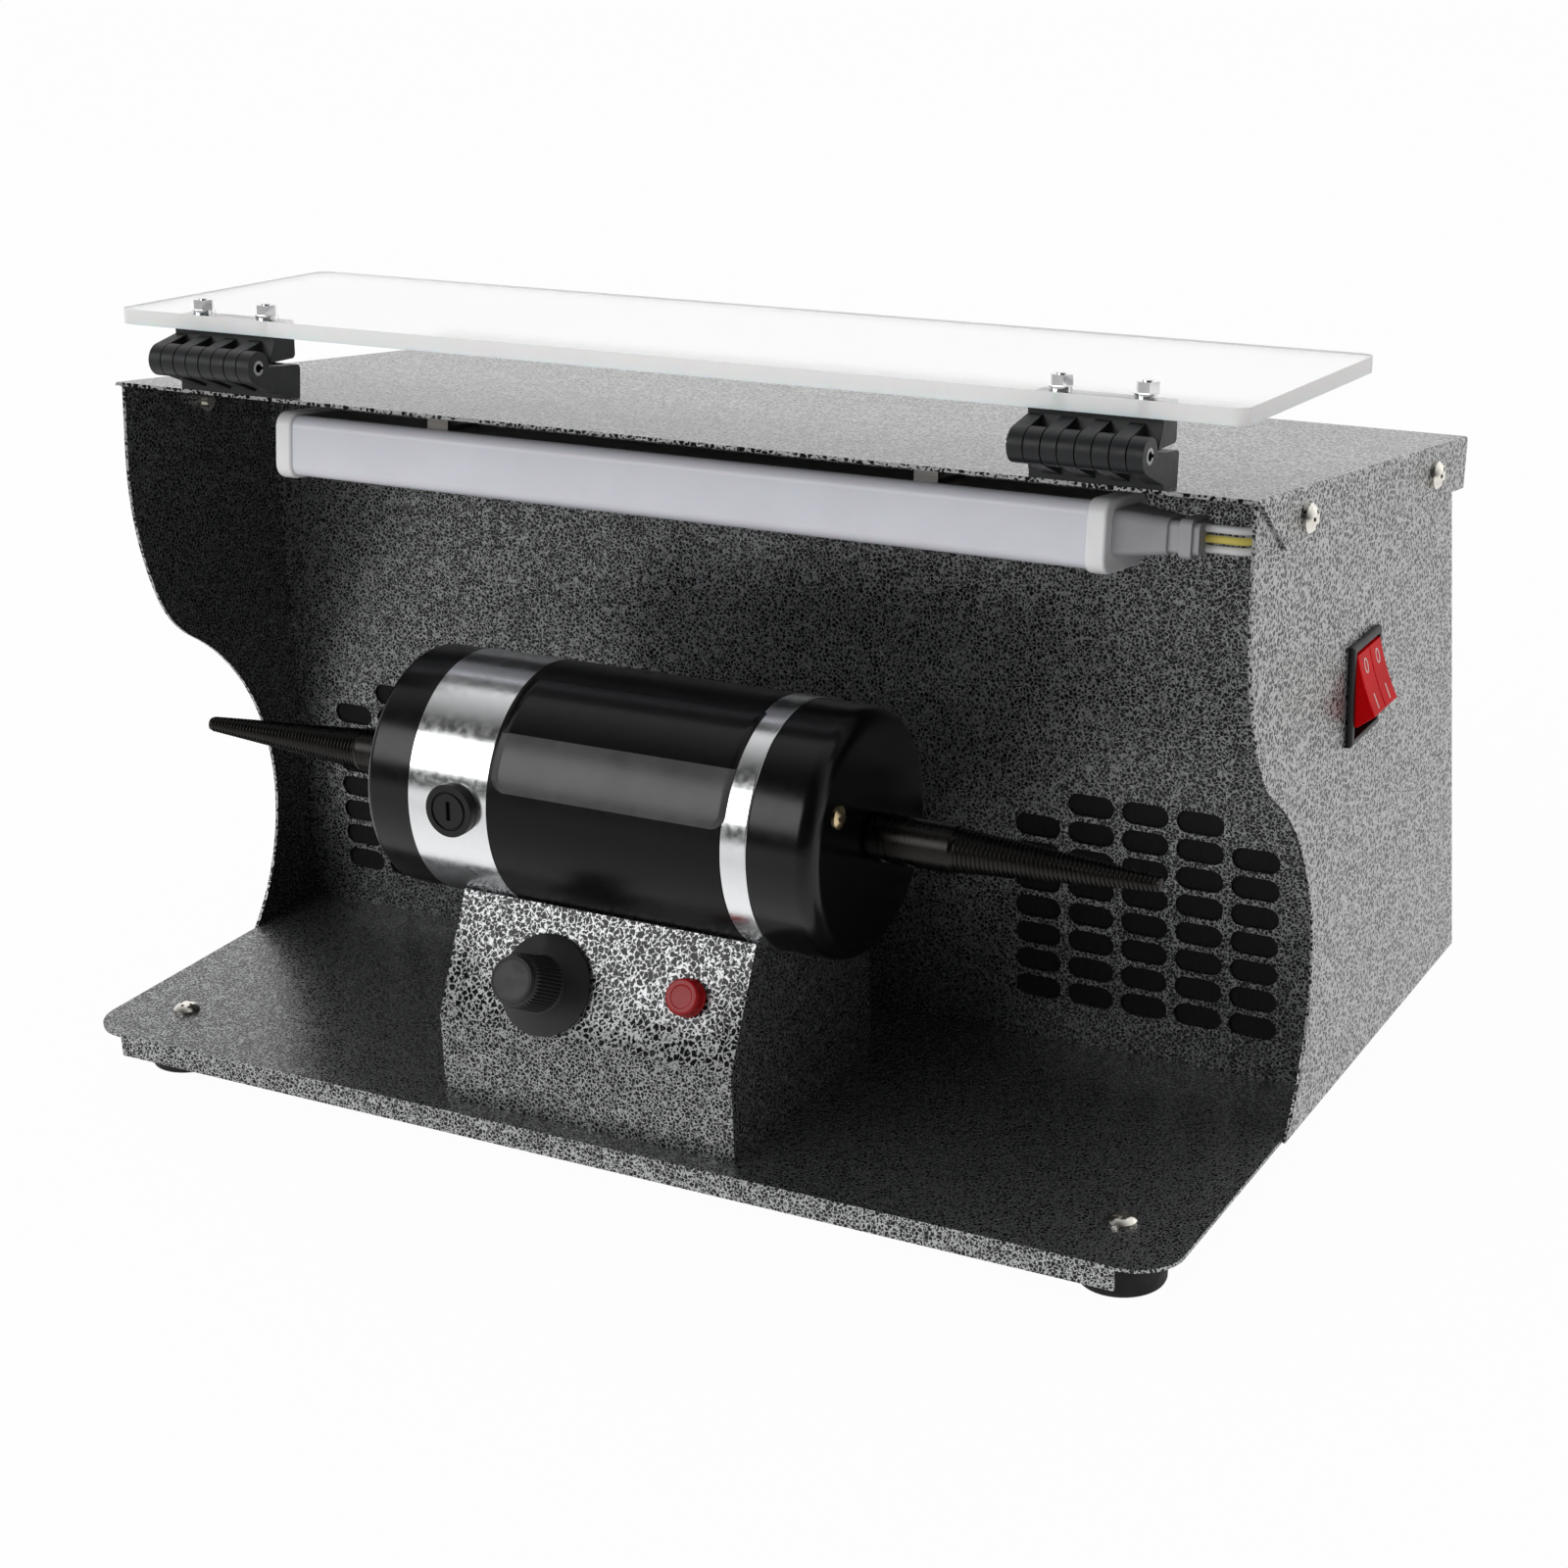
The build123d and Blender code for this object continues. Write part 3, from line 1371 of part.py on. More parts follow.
def build():
    """Every node of the machine by name."""
    spread = rocker_offset()
    return {
        "base_plate": base_plate(),
        "left_side_panel": side_panel(-1),
        "right_side_panel": side_panel(1),
        "top_cover": top_cover(),
        "baffle": baffle(),
        "rear_panel": rear_panel(),
        "pedestal": pedestal(),
        "rubber_feet": rubber_feet(),
        "case_screws": group([foot_screws(), cover_screws(), base_fixings(), fan_screws()]),
        "motor_saddles": motor_saddles(),
        "end_bracket_left": end_bracket_left(),
        "end_bracket_right": end_bracket_right(),
        "field_housing": field_housing(),
        "end_cap_left": end_cap(-1),
        "end_cap_right": end_cap(1),
        "cap_screws": cap_screws(),
        "bearings": bearings(),
        "stator_core": stator_core(),
        "field_coils": field_coils(),
        "brush_holders": brush_holders(),
        "carbon_brushes": carbon_brushes(),
        "brush_caps": brush_caps(),
        "shaft": shaft(),
        "armature_core": armature_core(),
        "armature_windings": armature_windings(),
        "commutator": commutator(),
        "cooling_fan": cooling_fan(),
        "left_spindle": left_spindle(),
        "right_spindle": right_spindle(),
        "set_screws": set_screws(),
        "speed_knob": speed_knob(),
        "potentiometer": potentiometer(),
        "pot_shaft": pot_shaft(),
        "pilot_lens": pilot_lens(),
        "pilot_body": pilot_body(),
        "control_board": control_board(),
        "led_channel": led_channel(),
        "led_diffuser": led_diffuser(),
        "led_board": led_board(),
        "led_end_caps": led_end_caps(),
        "led_clips": led_clips(),
        "led_plug": led_plug(),
        "led_lead": led_lead(),
        "lead_grommet": lead_grommet(),
        "hinge_lower_leaves": at_hinges(lower_leaf(), cover_frame),
        "hinge_upper_leaves": at_hinges(upper_leaf(), shield_frame),
        "hinge_pins": hinge_pins(),
        "hinge_screws": hinge_screws(),
        "shield": shield(),
        "shield_fasteners": group([shield_screws(), shield_nuts()]),
        "switch_housing": switch_housing(),
        "rocker_motor": rocker(-spread),
        "rocker_light": rocker(spread),
        "filter_pads": filter_pads(),
        "filter_frames": filter_frames(),
        "fan_frames": fan_frames(),
        "fan_guards": fan_guards(),
        "fan_rotor_left": fan_rotor(-1),
        "fan_rotor_right": fan_rotor(1),
        "cable_gland": cable_gland(),
    }


os.makedirs("parts", exist_ok=True)
for name, piece in build().items():
    export_step(piece, "parts/" + name + ".step")
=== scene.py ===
"""Dressed model of a jewelry polishing machine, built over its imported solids.

The machine is a hood of hammertone sheet steel with a double-ended motor on a folded pedestal, a light bar
under the cover, and a clear shield on two hinges. Sizes are millimetres until a mesh is written, in metres.
"""

from __future__ import annotations

import logging
import math
from dataclasses import dataclass, field
from enum import Enum

import bmesh
import bpy
import numpy as np
from mathutils import Matrix, Vector

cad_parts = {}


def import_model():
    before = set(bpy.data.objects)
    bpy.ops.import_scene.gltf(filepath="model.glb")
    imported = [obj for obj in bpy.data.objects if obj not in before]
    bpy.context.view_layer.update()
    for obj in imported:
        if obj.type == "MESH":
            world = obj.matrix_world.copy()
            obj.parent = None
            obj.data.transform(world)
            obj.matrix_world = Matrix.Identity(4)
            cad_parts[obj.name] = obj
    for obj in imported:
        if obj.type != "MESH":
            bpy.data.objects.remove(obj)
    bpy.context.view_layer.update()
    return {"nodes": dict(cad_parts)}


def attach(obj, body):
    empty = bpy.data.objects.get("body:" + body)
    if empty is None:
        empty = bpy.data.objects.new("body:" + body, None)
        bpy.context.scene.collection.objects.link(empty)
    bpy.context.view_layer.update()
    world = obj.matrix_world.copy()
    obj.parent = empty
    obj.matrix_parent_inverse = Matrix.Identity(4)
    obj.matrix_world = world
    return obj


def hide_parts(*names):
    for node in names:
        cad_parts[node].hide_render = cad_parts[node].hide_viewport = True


LOG = logging.getLogger("polisher")
MM = 0.001
Array = np.ndarray
Colour = tuple[float, float, float]


class Body(str, Enum):
    """Moving bodies of the machine."""

    MACHINE = "machine"
    SPINDLE = "spindle"
    SHIELD = "shield_leaf"
    KNOB = "knob"
    MOTOR_ROCKER = "motor_rocker"
    LIGHT_ROCKER = "light_rocker"


@dataclass(frozen=True)
class Datum:
    """Main places of the machine, as in the part's source."""

    side_outer: float = 201.2
    motor_y: float = -77.7
    motor_z: float = 114.7
    motor_radius: float = 39.8
    shield_slope: float = 4.1


@dataclass(frozen=True)
class Seat:
    """A local frame: its origin in millimetres, its X and its Z direction."""

    origin: tuple[float, float, float]
    x_dir: tuple[float, float, float] = (1.0, 0.0, 0.0)
    z_dir: tuple[float, float, float] = (0.0, 0.0, 1.0)

    def axes(self) -> Array:
        """Returns the frame's unit X, Y and Z directions as the rows of a matrix."""
        x = np.array(self.x_dir, float)
        z = np.array(self.z_dir, float)
        z /= np.linalg.norm(z)
        x -= z * x.dot(z)
        x /= np.linalg.norm(x)
        return np.stack([x, np.cross(z, x), z])

    def place(self, points: Array) -> Array:
        """Turns local points into the machine's frame.

        Args:
            points: local coordinates in millimetres, in the last axis.

        Returns:
            The points in the machine's frame, in millimetres.
        """
        return points @ self.axes() + np.array(self.origin, float)

    def shifted(self, x: float, y: float, z: float = 0.0) -> "Seat":
        """Returns the same frame moved by local distances."""
        origin = self.place(np.array([x, y, z], float))
        return Seat(tuple(origin), self.x_dir, self.z_dir)


DATUM = Datum()
PANEL_SEAT = Seat((0.0, -123.3, 47.9), z_dir=(0.0, -36.3, 18.7))
SWITCH_SEAT = Seat((DATUM.side_outer, 19.7, 148.6), (0.0, 1.0, 0.0), (1.0, 0.0, 0.0))


class Graph:
    """A material's node tree with short calls for the nodes that the finishes use."""

    def __init__(self, name: str) -> None:
        """Starts a material with one Principled shader.

        Args:
            name: the material's name.
        """
        self.material = bpy.data.materials.new(name)
        self.material.use_nodes = True
        self.tree = self.material.node_tree
        self.shader = self.tree.nodes["Principled BSDF"]
        self.spot = self.add("ShaderNodeTexCoord").outputs["Object"]

    def add(self, kind: str, **values: object) -> bpy.types.Node:
        """Adds a node and sets its properties."""
        node = self.tree.nodes.new(kind)
        for key, value in values.items():
            setattr(node, key, value)
        return node

    def feed(self, socket: bpy.types.NodeSocket, value: object) -> None:
        """Links a socket to another one, or sets its plain value."""
        if isinstance(value, bpy.types.NodeSocket):
            self.tree.links.new(value, socket)
        else:
            socket.default_value = value

    def stretched(self, scale: tuple[float, float, float]) -> bpy.types.NodeSocket:
        """Returns object coordinates scaled by axis."""
        node = self.add("ShaderNodeMapping")
        self.feed(node.inputs["Vector"], self.spot)
        node.inputs["Scale"].default_value = scale
        return node.outputs["Vector"]

    def noise(self, scale: float, detail: float = 3.0, spot: object = None) -> bpy.types.NodeSocket:
        """Returns a noise value from 0 to 1 at so many cells a metre."""
        node = self.add("ShaderNodeTexNoise")
        self.feed(node.inputs["Vector"], spot or self.spot)
        node.inputs["Scale"].default_value = scale
        node.inputs["Detail"].default_value = detail
        return node.outputs["Fac"]

    def maths(self, operation: str, first: object, second: object = 0.0) -> bpy.types.NodeSocket:
        """Returns the result of one sum on two values."""
        node = self.add("ShaderNodeMath", operation=operation)
        self.feed(node.inputs[0], first)
        self.feed(node.inputs[1], second)
        return node.outputs[0]

    def span(self, value: object, low: float, high: float, start: float, end: float) -> bpy.types.NodeSocket:
        """Returns a value carried smoothly from one span of numbers to another."""
        node = self.add("ShaderNodeMapRange", interpolation_type="SMOOTHSTEP")
        self.feed(node.inputs["Value"], value)
        for name, number in (("From Min", low), ("From Max", high), ("To Min", start), ("To Max", end)):
            node.inputs[name].default_value = number
        return node.outputs["Result"]

    def blend(self, share: object, first: object, second: object) -> bpy.types.NodeSocket:
        """Returns a colour between two colours."""
        node = self.add("ShaderNodeMix", data_type="RGBA")
        self.feed(node.inputs["Factor"], share)
        self.feed(node.inputs["A"], (*first, 1.0) if isinstance(first, tuple) else first)
        self.feed(node.inputs["B"], (*second, 1.0) if isinstance(second, tuple) else second)
        return node.outputs["Result"]

    def relief(self, height: object, depth: float, strength: float = 1.0, target: str = "Normal") -> None:
        """Bumps the shader's normal, or its coat's, by a height field of a given depth in metres."""
        node = self.add("ShaderNodeBump")
        node.inputs["Strength"].default_value = strength
        node.inputs["Distance"].default_value = depth
        self.feed(node.inputs["Height"], height)
        self.feed(self.shader.inputs[target], node.outputs["Normal"])

    def set(self, **values: object) -> None:
        """Sets or links the shader's inputs, with underscores for spaces."""
        for key, value in values.items():
            socket = self.shader.inputs[key.replace("_", " ")]
            if isinstance(value, tuple) and len(value) == 3 and socket.type == "RGBA":
                value = (*value, 1.0)
            self.feed(socket, value)


@dataclass(frozen=True)
class Hammertone:
    """Silver-vein paint: black cells in a net of light metallic veins, under a rippled clear coat.

    The net is the distance to the nearest cell wall, bent by noise and cut between two widths. Cells differ
    in tone, and fine noise breaks the veins up. Warp is how far the noise bends the net, in cells.
    """

    name: str
    vein: Colour = (0.46, 0.465, 0.47)
    cell: Colour = (0.003, 0.0035, 0.004)
    light_cell: Colour = (0.012, 0.0135, 0.015)
    cells_per_metre: float = 740.0
    vein_width: float = 0.12
    roughness: float = 0.3
    coat: float = 0.35
    warp: float = 1.1
    relief: float = 0.00026

    def build(self) -> bpy.types.Material:
        """Returns the paint's material."""
        graph = Graph(self.name)
        warp = graph.add("ShaderNodeTexNoise")
        graph.feed(warp.inputs["Vector"], graph.spot)
        warp.inputs["Scale"].default_value = self.cells_per_metre * 1.3
        shift = graph.add("ShaderNodeVectorMath", operation="MULTIPLY_ADD")
        graph.feed(shift.inputs[0], warp.outputs["Color"])
        shift.inputs[1].default_value = (self.warp / self.cells_per_metre,) * 3
        graph.feed(shift.inputs[2], graph.spot)
        walls = graph.add("ShaderNodeTexVoronoi", feature="DISTANCE_TO_EDGE")
        cells = graph.add("ShaderNodeTexVoronoi", feature="F1")
        for node in (walls, cells):
            graph.feed(node.inputs["Vector"], shift.outputs[0])
            node.inputs["Scale"].default_value = self.cells_per_metre
        broad = graph.noise(self.cells_per_metre * 0.3, 2.0)
        fine = graph.noise(self.cells_per_metre * 2.4, 2.0)
        wall = graph.maths("ADD", walls.outputs["Distance"], graph.span(broad, 0.3, 0.7, 0.02, -0.02))
        wall = graph.maths("ADD", wall, graph.span(fine, 0.3, 0.7, -0.06, 0.06))
        vein = graph.span(wall, self.vein_width * 0.5, self.vein_width * 1.2, 1.0, 0.0)
        tone = graph.add("ShaderNodeSeparateColor")
        graph.feed(tone.inputs[0], cells.outputs["Color"])
        ground = graph.blend(graph.span(tone.outputs[0], 0.55, 1.0, 0.0, 1.0), self.cell, self.light_cell)
        graph.set(
            Base_Color=graph.blend(vein, ground, self.vein),
            Metallic=graph.span(vein, 0.0, 1.0, 0.1, 1.0),
            Roughness=graph.span(vein, 0.0, 1.0, self.roughness * 0.8, self.roughness * 1.25),
            Specular_IOR_Level=0.1,
            Coat_Weight=self.coat,
            Coat_IOR=1.5,
            Coat_Roughness=0.08,
        )
        graph.relief(vein, self.relief, 0.7)
        swell = graph.noise(self.cells_per_metre * 0.9, 2.0)
        ripple = graph.maths("ADD", graph.maths("MULTIPLY", vein, 0.4), swell)
        graph.relief(ripple, self.relief, 0.8, "Coat Normal")
        return graph.material


@dataclass(frozen=True)
class Moulded:
    """Moulded or painted surface with fine grain, slight mottling and uneven gloss."""

    name: str
    colour: Colour
    roughness: float = 0.45
    grain: float = 0.00003
    grain_scale: float = 1800.0
    depth: float = 0.0
    clear: float = 0.0
    mottle: float = 0.14
    shine: float = 0.5

    def build(self) -> bpy.types.Material:
        """Returns the surface's material."""
        graph = Graph(self.name)
        tone = graph.noise(60.0, 4.0)
        darker = tuple(part * (1.0 - self.mottle) for part in self.colour)
        lighter = tuple(min(1.0, part * (1.0 + self.mottle * 0.7)) for part in self.colour)
        graph.set(
            Base_Color=graph.blend(graph.span(tone, 0.3, 0.7, 0.0, 1.0), darker, lighter),
            Roughness=graph.span(graph.noise(240.0), 0.3, 0.7, self.roughness * 0.92, self.roughness * 1.1),
            Specular_IOR_Level=self.shine,
            Subsurface_Weight=self.depth,
            Subsurface_Scale=0.004,
            Transmission_Weight=self.clear,
        )
        graph.relief(graph.noise(self.grain_scale, 2.0), self.grain)
        return graph.material


@dataclass(frozen=True)
class Metal:
    """Bare metal with fine working lines across one axis and faint smudges."""

    name: str
    colour: Colour
    roughness: float = 0.25
    lines: tuple[float, float, float] = (1.0, 1.0, 1.0)
    line_scale: float = 400.0
    line_depth: float = 0.00001
    smudge: float = 0.35
    contrast: float = 0.2

    def build(self) -> bpy.types.Material:
        """Returns the metal's material."""
        graph = Graph(self.name)
        streaks = graph.noise(self.line_scale, 3.0, graph.stretched(self.lines))
        blots = graph.noise(45.0, 5.0)
        darker = tuple(part * (1.0 - self.contrast) for part in self.colour)
        rough = graph.maths(
            "ADD",
            graph.span(streaks, 0.3, 0.7, self.roughness * 0.75, self.roughness * 1.2),
            graph.span(blots, 0.45, 0.75, 0.0, self.roughness * self.smudge),
        )
        graph.set(
            Base_Color=graph.blend(graph.span(streaks, 0.35, 0.65, 0.0, 1.0), darker, self.colour),
            Metallic=1.0,
            Roughness=rough,
        )
        graph.relief(streaks, self.line_depth)
        return graph.material


@dataclass(frozen=True)
class ClearSheet:
    """Clear acrylic with a faint haze of fine wiping marks."""

    name: str
    colour: Colour = (0.965, 0.968, 0.965)
    roughness: float = 0.012

    def build(self) -> bpy.types.Material:
        """Returns the sheet's material."""
        graph = Graph(self.name)
        marks = graph.noise(900.0, 3.0, graph.stretched((0.06, 1.0, 1.0)))
        other = tuple(part * 0.985 for part in self.colour)
        graph.set(
            Base_Color=graph.blend(graph.span(graph.noise(12.0), 0.3, 0.7, 0.0, 1.0), self.colour, other),
            Roughness=graph.span(marks, 0.4, 0.8, self.roughness, self.roughness * 3.0),
            Transmission_Weight=1.0,
            IOR=1.49,
        )
        graph.relief(marks, 0.000002)
        return graph.material


@dataclass(frozen=True)
class Cores:
    """Insulated wire cores of a level row, with a band of another colour along the middle one."""

    name: str
    height: float
    band: float
    outer: Colour = (0.78, 0.78, 0.8)
    middle: Colour = (0.75, 0.62, 0.12)

    def build(self) -> bpy.types.Material:
        """Returns the cores' material, coloured by distance from the middle core's height."""
        graph = Graph(self.name)
        split = graph.add("ShaderNodeSeparateXYZ")
        graph.feed(split.inputs[0], graph.spot)
        away = graph.maths("ABSOLUTE", graph.maths("SUBTRACT", split.outputs["Z"], self.height * MM))
        share = graph.span(away, self.band * 0.45 * MM, self.band * 0.55 * MM, 0.0, 1.0)
        mottle = graph.span(graph.noise(500.0), 0.3, 0.7, 0.34, 0.5)
        graph.set(Base_Color=graph.blend(share, self.middle, self.outer), Roughness=mottle)
        graph.relief(graph.noise(1500.0), 0.00002)
        return graph.material


@dataclass(frozen=True)
class Felt:
    """Fibrous filter felt."""

    name: str
    colour: Colour

    def build(self) -> bpy.types.Material:
        """Returns the felt's material."""
        graph = Graph(self.name)
        fibres = graph.noise(900.0, 6.0, graph.stretched((1.0, 1.0, 0.4)))
        darker = tuple(part * 0.6 for part in self.colour)
        share = graph.span(fibres, 0.3, 0.7, 0.0, 1.0)
        graph.set(Base_Color=graph.blend(share, darker, self.colour), Roughness=0.9)
        graph.relief(fibres, 0.0006)
        return graph.material


@dataclass(frozen=True)
class Wound:
    """Varnished copper wire wound round the motor's axis, or cut copper bars."""

    name: str
    colour: Colour = (0.55, 0.24, 0.1)

    def build(self) -> bpy.types.Material:
        """Returns the copper's material, with rings about the axis along X."""
        graph = Graph(self.name)
        wave = graph.add("ShaderNodeTexWave", wave_type="BANDS", bands_direction="X")
        graph.feed(wave.inputs["Vector"], graph.spot)
        wave.inputs["Scale"].default_value = 320.0
        wave.inputs["Distortion"].default_value = 2.0
        darker = tuple(part * 0.45 for part in self.colour)
        copper = graph.blend(wave.outputs["Fac"], darker, self.colour)
        graph.set(Base_Color=copper, Metallic=0.8, Roughness=0.35)
        graph.relief(wave.outputs["Fac"], 0.0003)
        return graph.material


class Palette:
    """All finishes of the machine by name, each built once."""

    def __init__(self) -> None:
        """Builds every material."""
        finishes = (
            Hammertone("hammertone"),
            # darker-veined copy of the paint for the faces inside the hood: painted shade of the hood's
            # interior
            Hammertone("hammertone_painted_shade", (0.33, 0.335, 0.34)),
            Hammertone(
                "hammertone_coarse", (0.4, 0.405, 0.4), cells_per_metre=480.0, vein_width=0.16, coat=0.2
            ),
            Hammertone("hammertone_thick", light_cell=(0.03, 0.031, 0.033), cells_per_metre=520.0),
            Moulded("field_black", (0.004, 0.004, 0.0042), 0.3, grain=0.000008, shine=0.18),
            Moulded("cap_black", (0.002, 0.002, 0.002), 0.22, 0.000004, 500.0, shine=0.35),
            Moulded("black_plastic", (0.006, 0.006, 0.007), 0.42, shine=0.35),
            Moulded("hinge_nylon", (0.008, 0.009, 0.0105), 0.44, 0.00004, 1300.0, shine=0.4),
            Moulded("foot_rubber", (0.008, 0.008, 0.008), 0.7, grain=0.0001, shine=0.3),
            Moulded("white_plastic", (0.83, 0.83, 0.84), 0.38, depth=0.1, mottle=0.04),
            Moulded("grey_plastic", (0.38, 0.38, 0.4), 0.4, mottle=0.08),
            Moulded("knob_black", (0.014, 0.014, 0.015), 0.42, grain=0.00002, shine=0.4),
            Moulded("diffuser", (0.72, 0.71, 0.77), 0.3, grain=0.000003, depth=0.25, mottle=0.02),
            Moulded("red_plastic", (0.8, 0.003, 0.006), 0.25, 0.000002, clear=0.05, mottle=0.12, shine=0.03),
            Moulded("red_lens", (0.32, 0.004, 0.006), 0.22, 0.000002, clear=0.15, mottle=0.08, shine=0.22),
            Moulded("label_black", (0.004, 0.004, 0.0045), 0.2, grain=0.000003, shine=0.3),
            Moulded("label_grey", (0.065, 0.065, 0.068), 0.25, grain=0.000003, shine=0.3),
            Moulded("mark_white", (0.85, 0.8, 0.78), 0.5, mottle=0.05),
            Moulded("circuit_board", (0.02, 0.16, 0.06), 0.4),
            Moulded("insulator", (0.3, 0.14, 0.06), 0.55),
            Moulded("carbon", (0.02, 0.02, 0.021), 0.6),
            Metal(
                "band_aluminium", (0.86, 0.87, 0.88), 0.2, line_depth=0.0000004, smudge=0.04, contrast=0.03
            ),
            Metal("channel_aluminium", (0.3, 0.285, 0.27), 0.36, (0.05, 1.0, 1.0), 900.0),
            Metal("saddle_alloy", (0.5, 0.5, 0.51), 0.5, line_depth=0.0001),
            Metal("screw_zinc", (0.78, 0.75, 0.69), 0.2, contrast=0.1),
            Metal("screw_brass", (0.75, 0.6, 0.36), 0.25),
            Metal("nut_chrome", (0.88, 0.88, 0.89), 0.1, contrast=0.05),
            Metal("bearing_steel", (0.6, 0.6, 0.62), 0.25, (30.0, 1.0, 1.0), 80.0),
            Metal("pin_steel", (0.36, 0.36, 0.37), 0.25, (30.0, 1.0, 1.0), 80.0),
            Metal("lamination", (0.25, 0.25, 0.27), 0.5, (60.0, 1.0, 1.0), 60.0, 0.0002),
            Metal("black_oxide", (0.036, 0.034, 0.032), 0.3, (12.0, 1.0, 1.0), 120.0, 0.00002),
            ClearSheet("acrylic"),
            Moulded("acrylic_edge", (0.99, 0.99, 0.99), 0.3, 0.000002, depth=0.5, clear=0.25, mottle=0.01),
            # near-black felt: partly the filter's own dark colour, partly painted shade of the dark space
            # behind the slots
            Felt("filter_felt", (0.004, 0.004, 0.004)),
            Wound("copper_wire"),
            Cores("wire_cores", 210.3, 2.3),
        )
        self.made = {finish.name: finish.build() for finish in finishes}

    def dress(self, thing: bpy.types.Object, name: str) -> None:
        """Gives an object one finish in all its slots."""
        slots = thing.material_slots
        if not len(slots):
            thing.data.materials.append(self.made[name])
        for slot in slots:
            slot.material = self.made[name]


@dataclass
class Workshop:
    """Puts numpy shapes and copies of the solids into the scene."""

    nodes: dict[str, bpy.types.Object]
    palette: Palette

    def keep(self, node: str, finish: str) -> None:
        """Keeps a solid as it is, with a better finish."""
        self.palette.dress(self.nodes[node], finish)
        LOG.info("node %s keeps its shape in %s", node, finish)

    def settle(
        self, thing: bpy.types.Object, body: Body, finish: str, replaces: tuple[str, ...] = ()
    ) -> bpy.types.Object:
        """Gives a finished piece its finish and body, and hides the solids that it stands for.

        Args:
            thing: the piece, with its place in its mesh.
            body: the body that it moves with.
            finish: the finish that it shows.
            replaces: the solids that it stands for.

        Returns:
            The piece.
        """
        self.palette.dress(thing, finish)
        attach(thing, body.value)
        if replaces:
            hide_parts(*replaces)
        LOG.info("piece %s rides on %s", thing.name, body.value)
        return thing

    def rounded(
        self,
        node: str,
        body: Body,
        finish: str,
        width: float,
        segments: int = 2,
        limit: float = 32.0,
    ) -> bpy.types.Object:
        """Replaces a solid by a copy whose sharp edges are rounded.

        Args:
            node: the solid's name.
            body: the body that it moves with.
            finish: the finish that it shows.
            width: the rounding's width in millimetres.
            segments: the faces across a rounding.
            limit: the smallest turn between two faces that gets a rounding, in degrees.

        Returns:
            The piece that stands for the solid.
        """
        mesh = self.nodes[node].data.copy()
        work = bmesh.new()
        work.from_mesh(mesh)
        bmesh.ops.remove_doubles(work, verts=work.verts, dist=2e-6)
        bmesh.ops.dissolve_limit(work, angle_limit=math.radians(0.6), verts=work.verts, edges=work.edges)
        work.to_mesh(mesh)
        work.free()
        if mesh.has_custom_normals:
            mesh.attributes.remove(mesh.attributes["custom_normal"])
        mesh.shade_smooth()
        thing = bpy.data.objects.new(node + "_rounded", mesh)
        bpy.context.scene.collection.objects.link(thing)
        bevel = thing.modifiers.new("edges", "BEVEL")
        bevel.width = width * MM
        bevel.segments = segments
        bevel.limit_method = "ANGLE"
        bevel.angle_limit = math.radians(limit)
        bevel.harden_normals = True
        bevel.use_clamp_overlap = True
        return self.settle(thing, body, finish, (node,))

    def second_finish(
        self, thing: bpy.types.Object, finish: str, way: Array, least: float = 0.99, most: float = 1.01
    ) -> None:
        """Gives another finish to the faces whose normal's share along a direction lies in a span.

        Args:
            thing: the piece, already dressed.
            finish: the other finish.
            way: the direction, of length 1.
            least: the smallest share.
            most: the largest share.
        """
        thing.data.materials.append(self.palette.made[finish])
        last = len(thing.data.materials) - 1
        way = Vector(way)
        for face in thing.data.polygons:
            face.material_index = last if least < face.normal.dot(way) < most else 0

    def skin(self, name: str, points: Array, crease: float = 35.0, shut: bool = True) -> bpy.types.Object:
        """Makes a mesh from a grid of points that closes round its second axis.

        Args:
            name: the piece's name.
            points: the grid in millimetres, shaped rings, points in a ring, 3.
            crease: the turn between two faces above which an edge stays sharp, in degrees.
            shut: whether the first and last ring are points or get merged flat ends.

        Returns:
            The new object, in metres.
        """
        faces = grid_faces(points.shape[0], points.shape[1], True)
        return self.solid(name, points.reshape(-1, 3), faces, crease, shut)

    def solid(
        self, name: str, points: Array, faces: Array, crease: float = 35.0, shut: bool = True
    ) -> bpy.types.Object:
        """Makes an object from points in millimetres and faces, and turns its faces outwards.

        Args:
            name: the piece's name.
            points: the points, one a row.
            faces: the points' numbers of each face, one face a row.
            crease: the turn between two faces above which an edge stays sharp, in degrees.
            shut: whether open ends are filled.

        Returns:
            The new object, in metres.
        """
        mesh = bpy.data.meshes.new(name)
        mesh.from_pydata((points * MM).tolist(), [], faces.tolist())
        work = bmesh.new()
        work.from_mesh(mesh)
        bmesh.ops.remove_doubles(work, verts=work.verts, dist=1e-7)
        bmesh.ops.dissolve_degenerate(work, edges=work.edges, dist=1e-7)
        if shut:
            rim = [edge for edge in work.edges if edge.is_boundary]
            if rim:
                bmesh.ops.holes_fill(work, edges=rim, sides=0)
        bmesh.ops.recalc_face_normals(work, faces=work.faces)
        work.to_mesh(mesh)
        work.free()
        mesh.shade_smooth()
        mesh.set_sharp_from_angle(angle=math.radians(crease))
        thing = bpy.data.objects.new(name, mesh)
        bpy.context.scene.collection.objects.link(thing)
        return thing

    def turned(
        self, name: str, seat: Seat, profile: Array, count: int = 96, crease: float = 35.0
    ) -> bpy.types.Object:
        """Makes a turned piece: each profile point's radius carried round the seat's Z axis.

        Args:
            name: the piece's name.
            seat: the frame whose Z is the axis.
            profile: pairs of height and radius in millimetres.
            count: points round the axis.
            crease: the turn above which an edge stays sharp, in degrees.

        Returns:
            The new object.
        """
        turn = np.linspace(0.0, 2.0 * np.pi, count, endpoint=False)
        height = np.repeat(profile[:, :1], count, axis=1)
        local = np.stack([profile[:, 1:] * np.cos(turn), profile[:, 1:] * np.sin(turn), height], axis=-1)
        return self.skin(name, seat.place(local), crease)


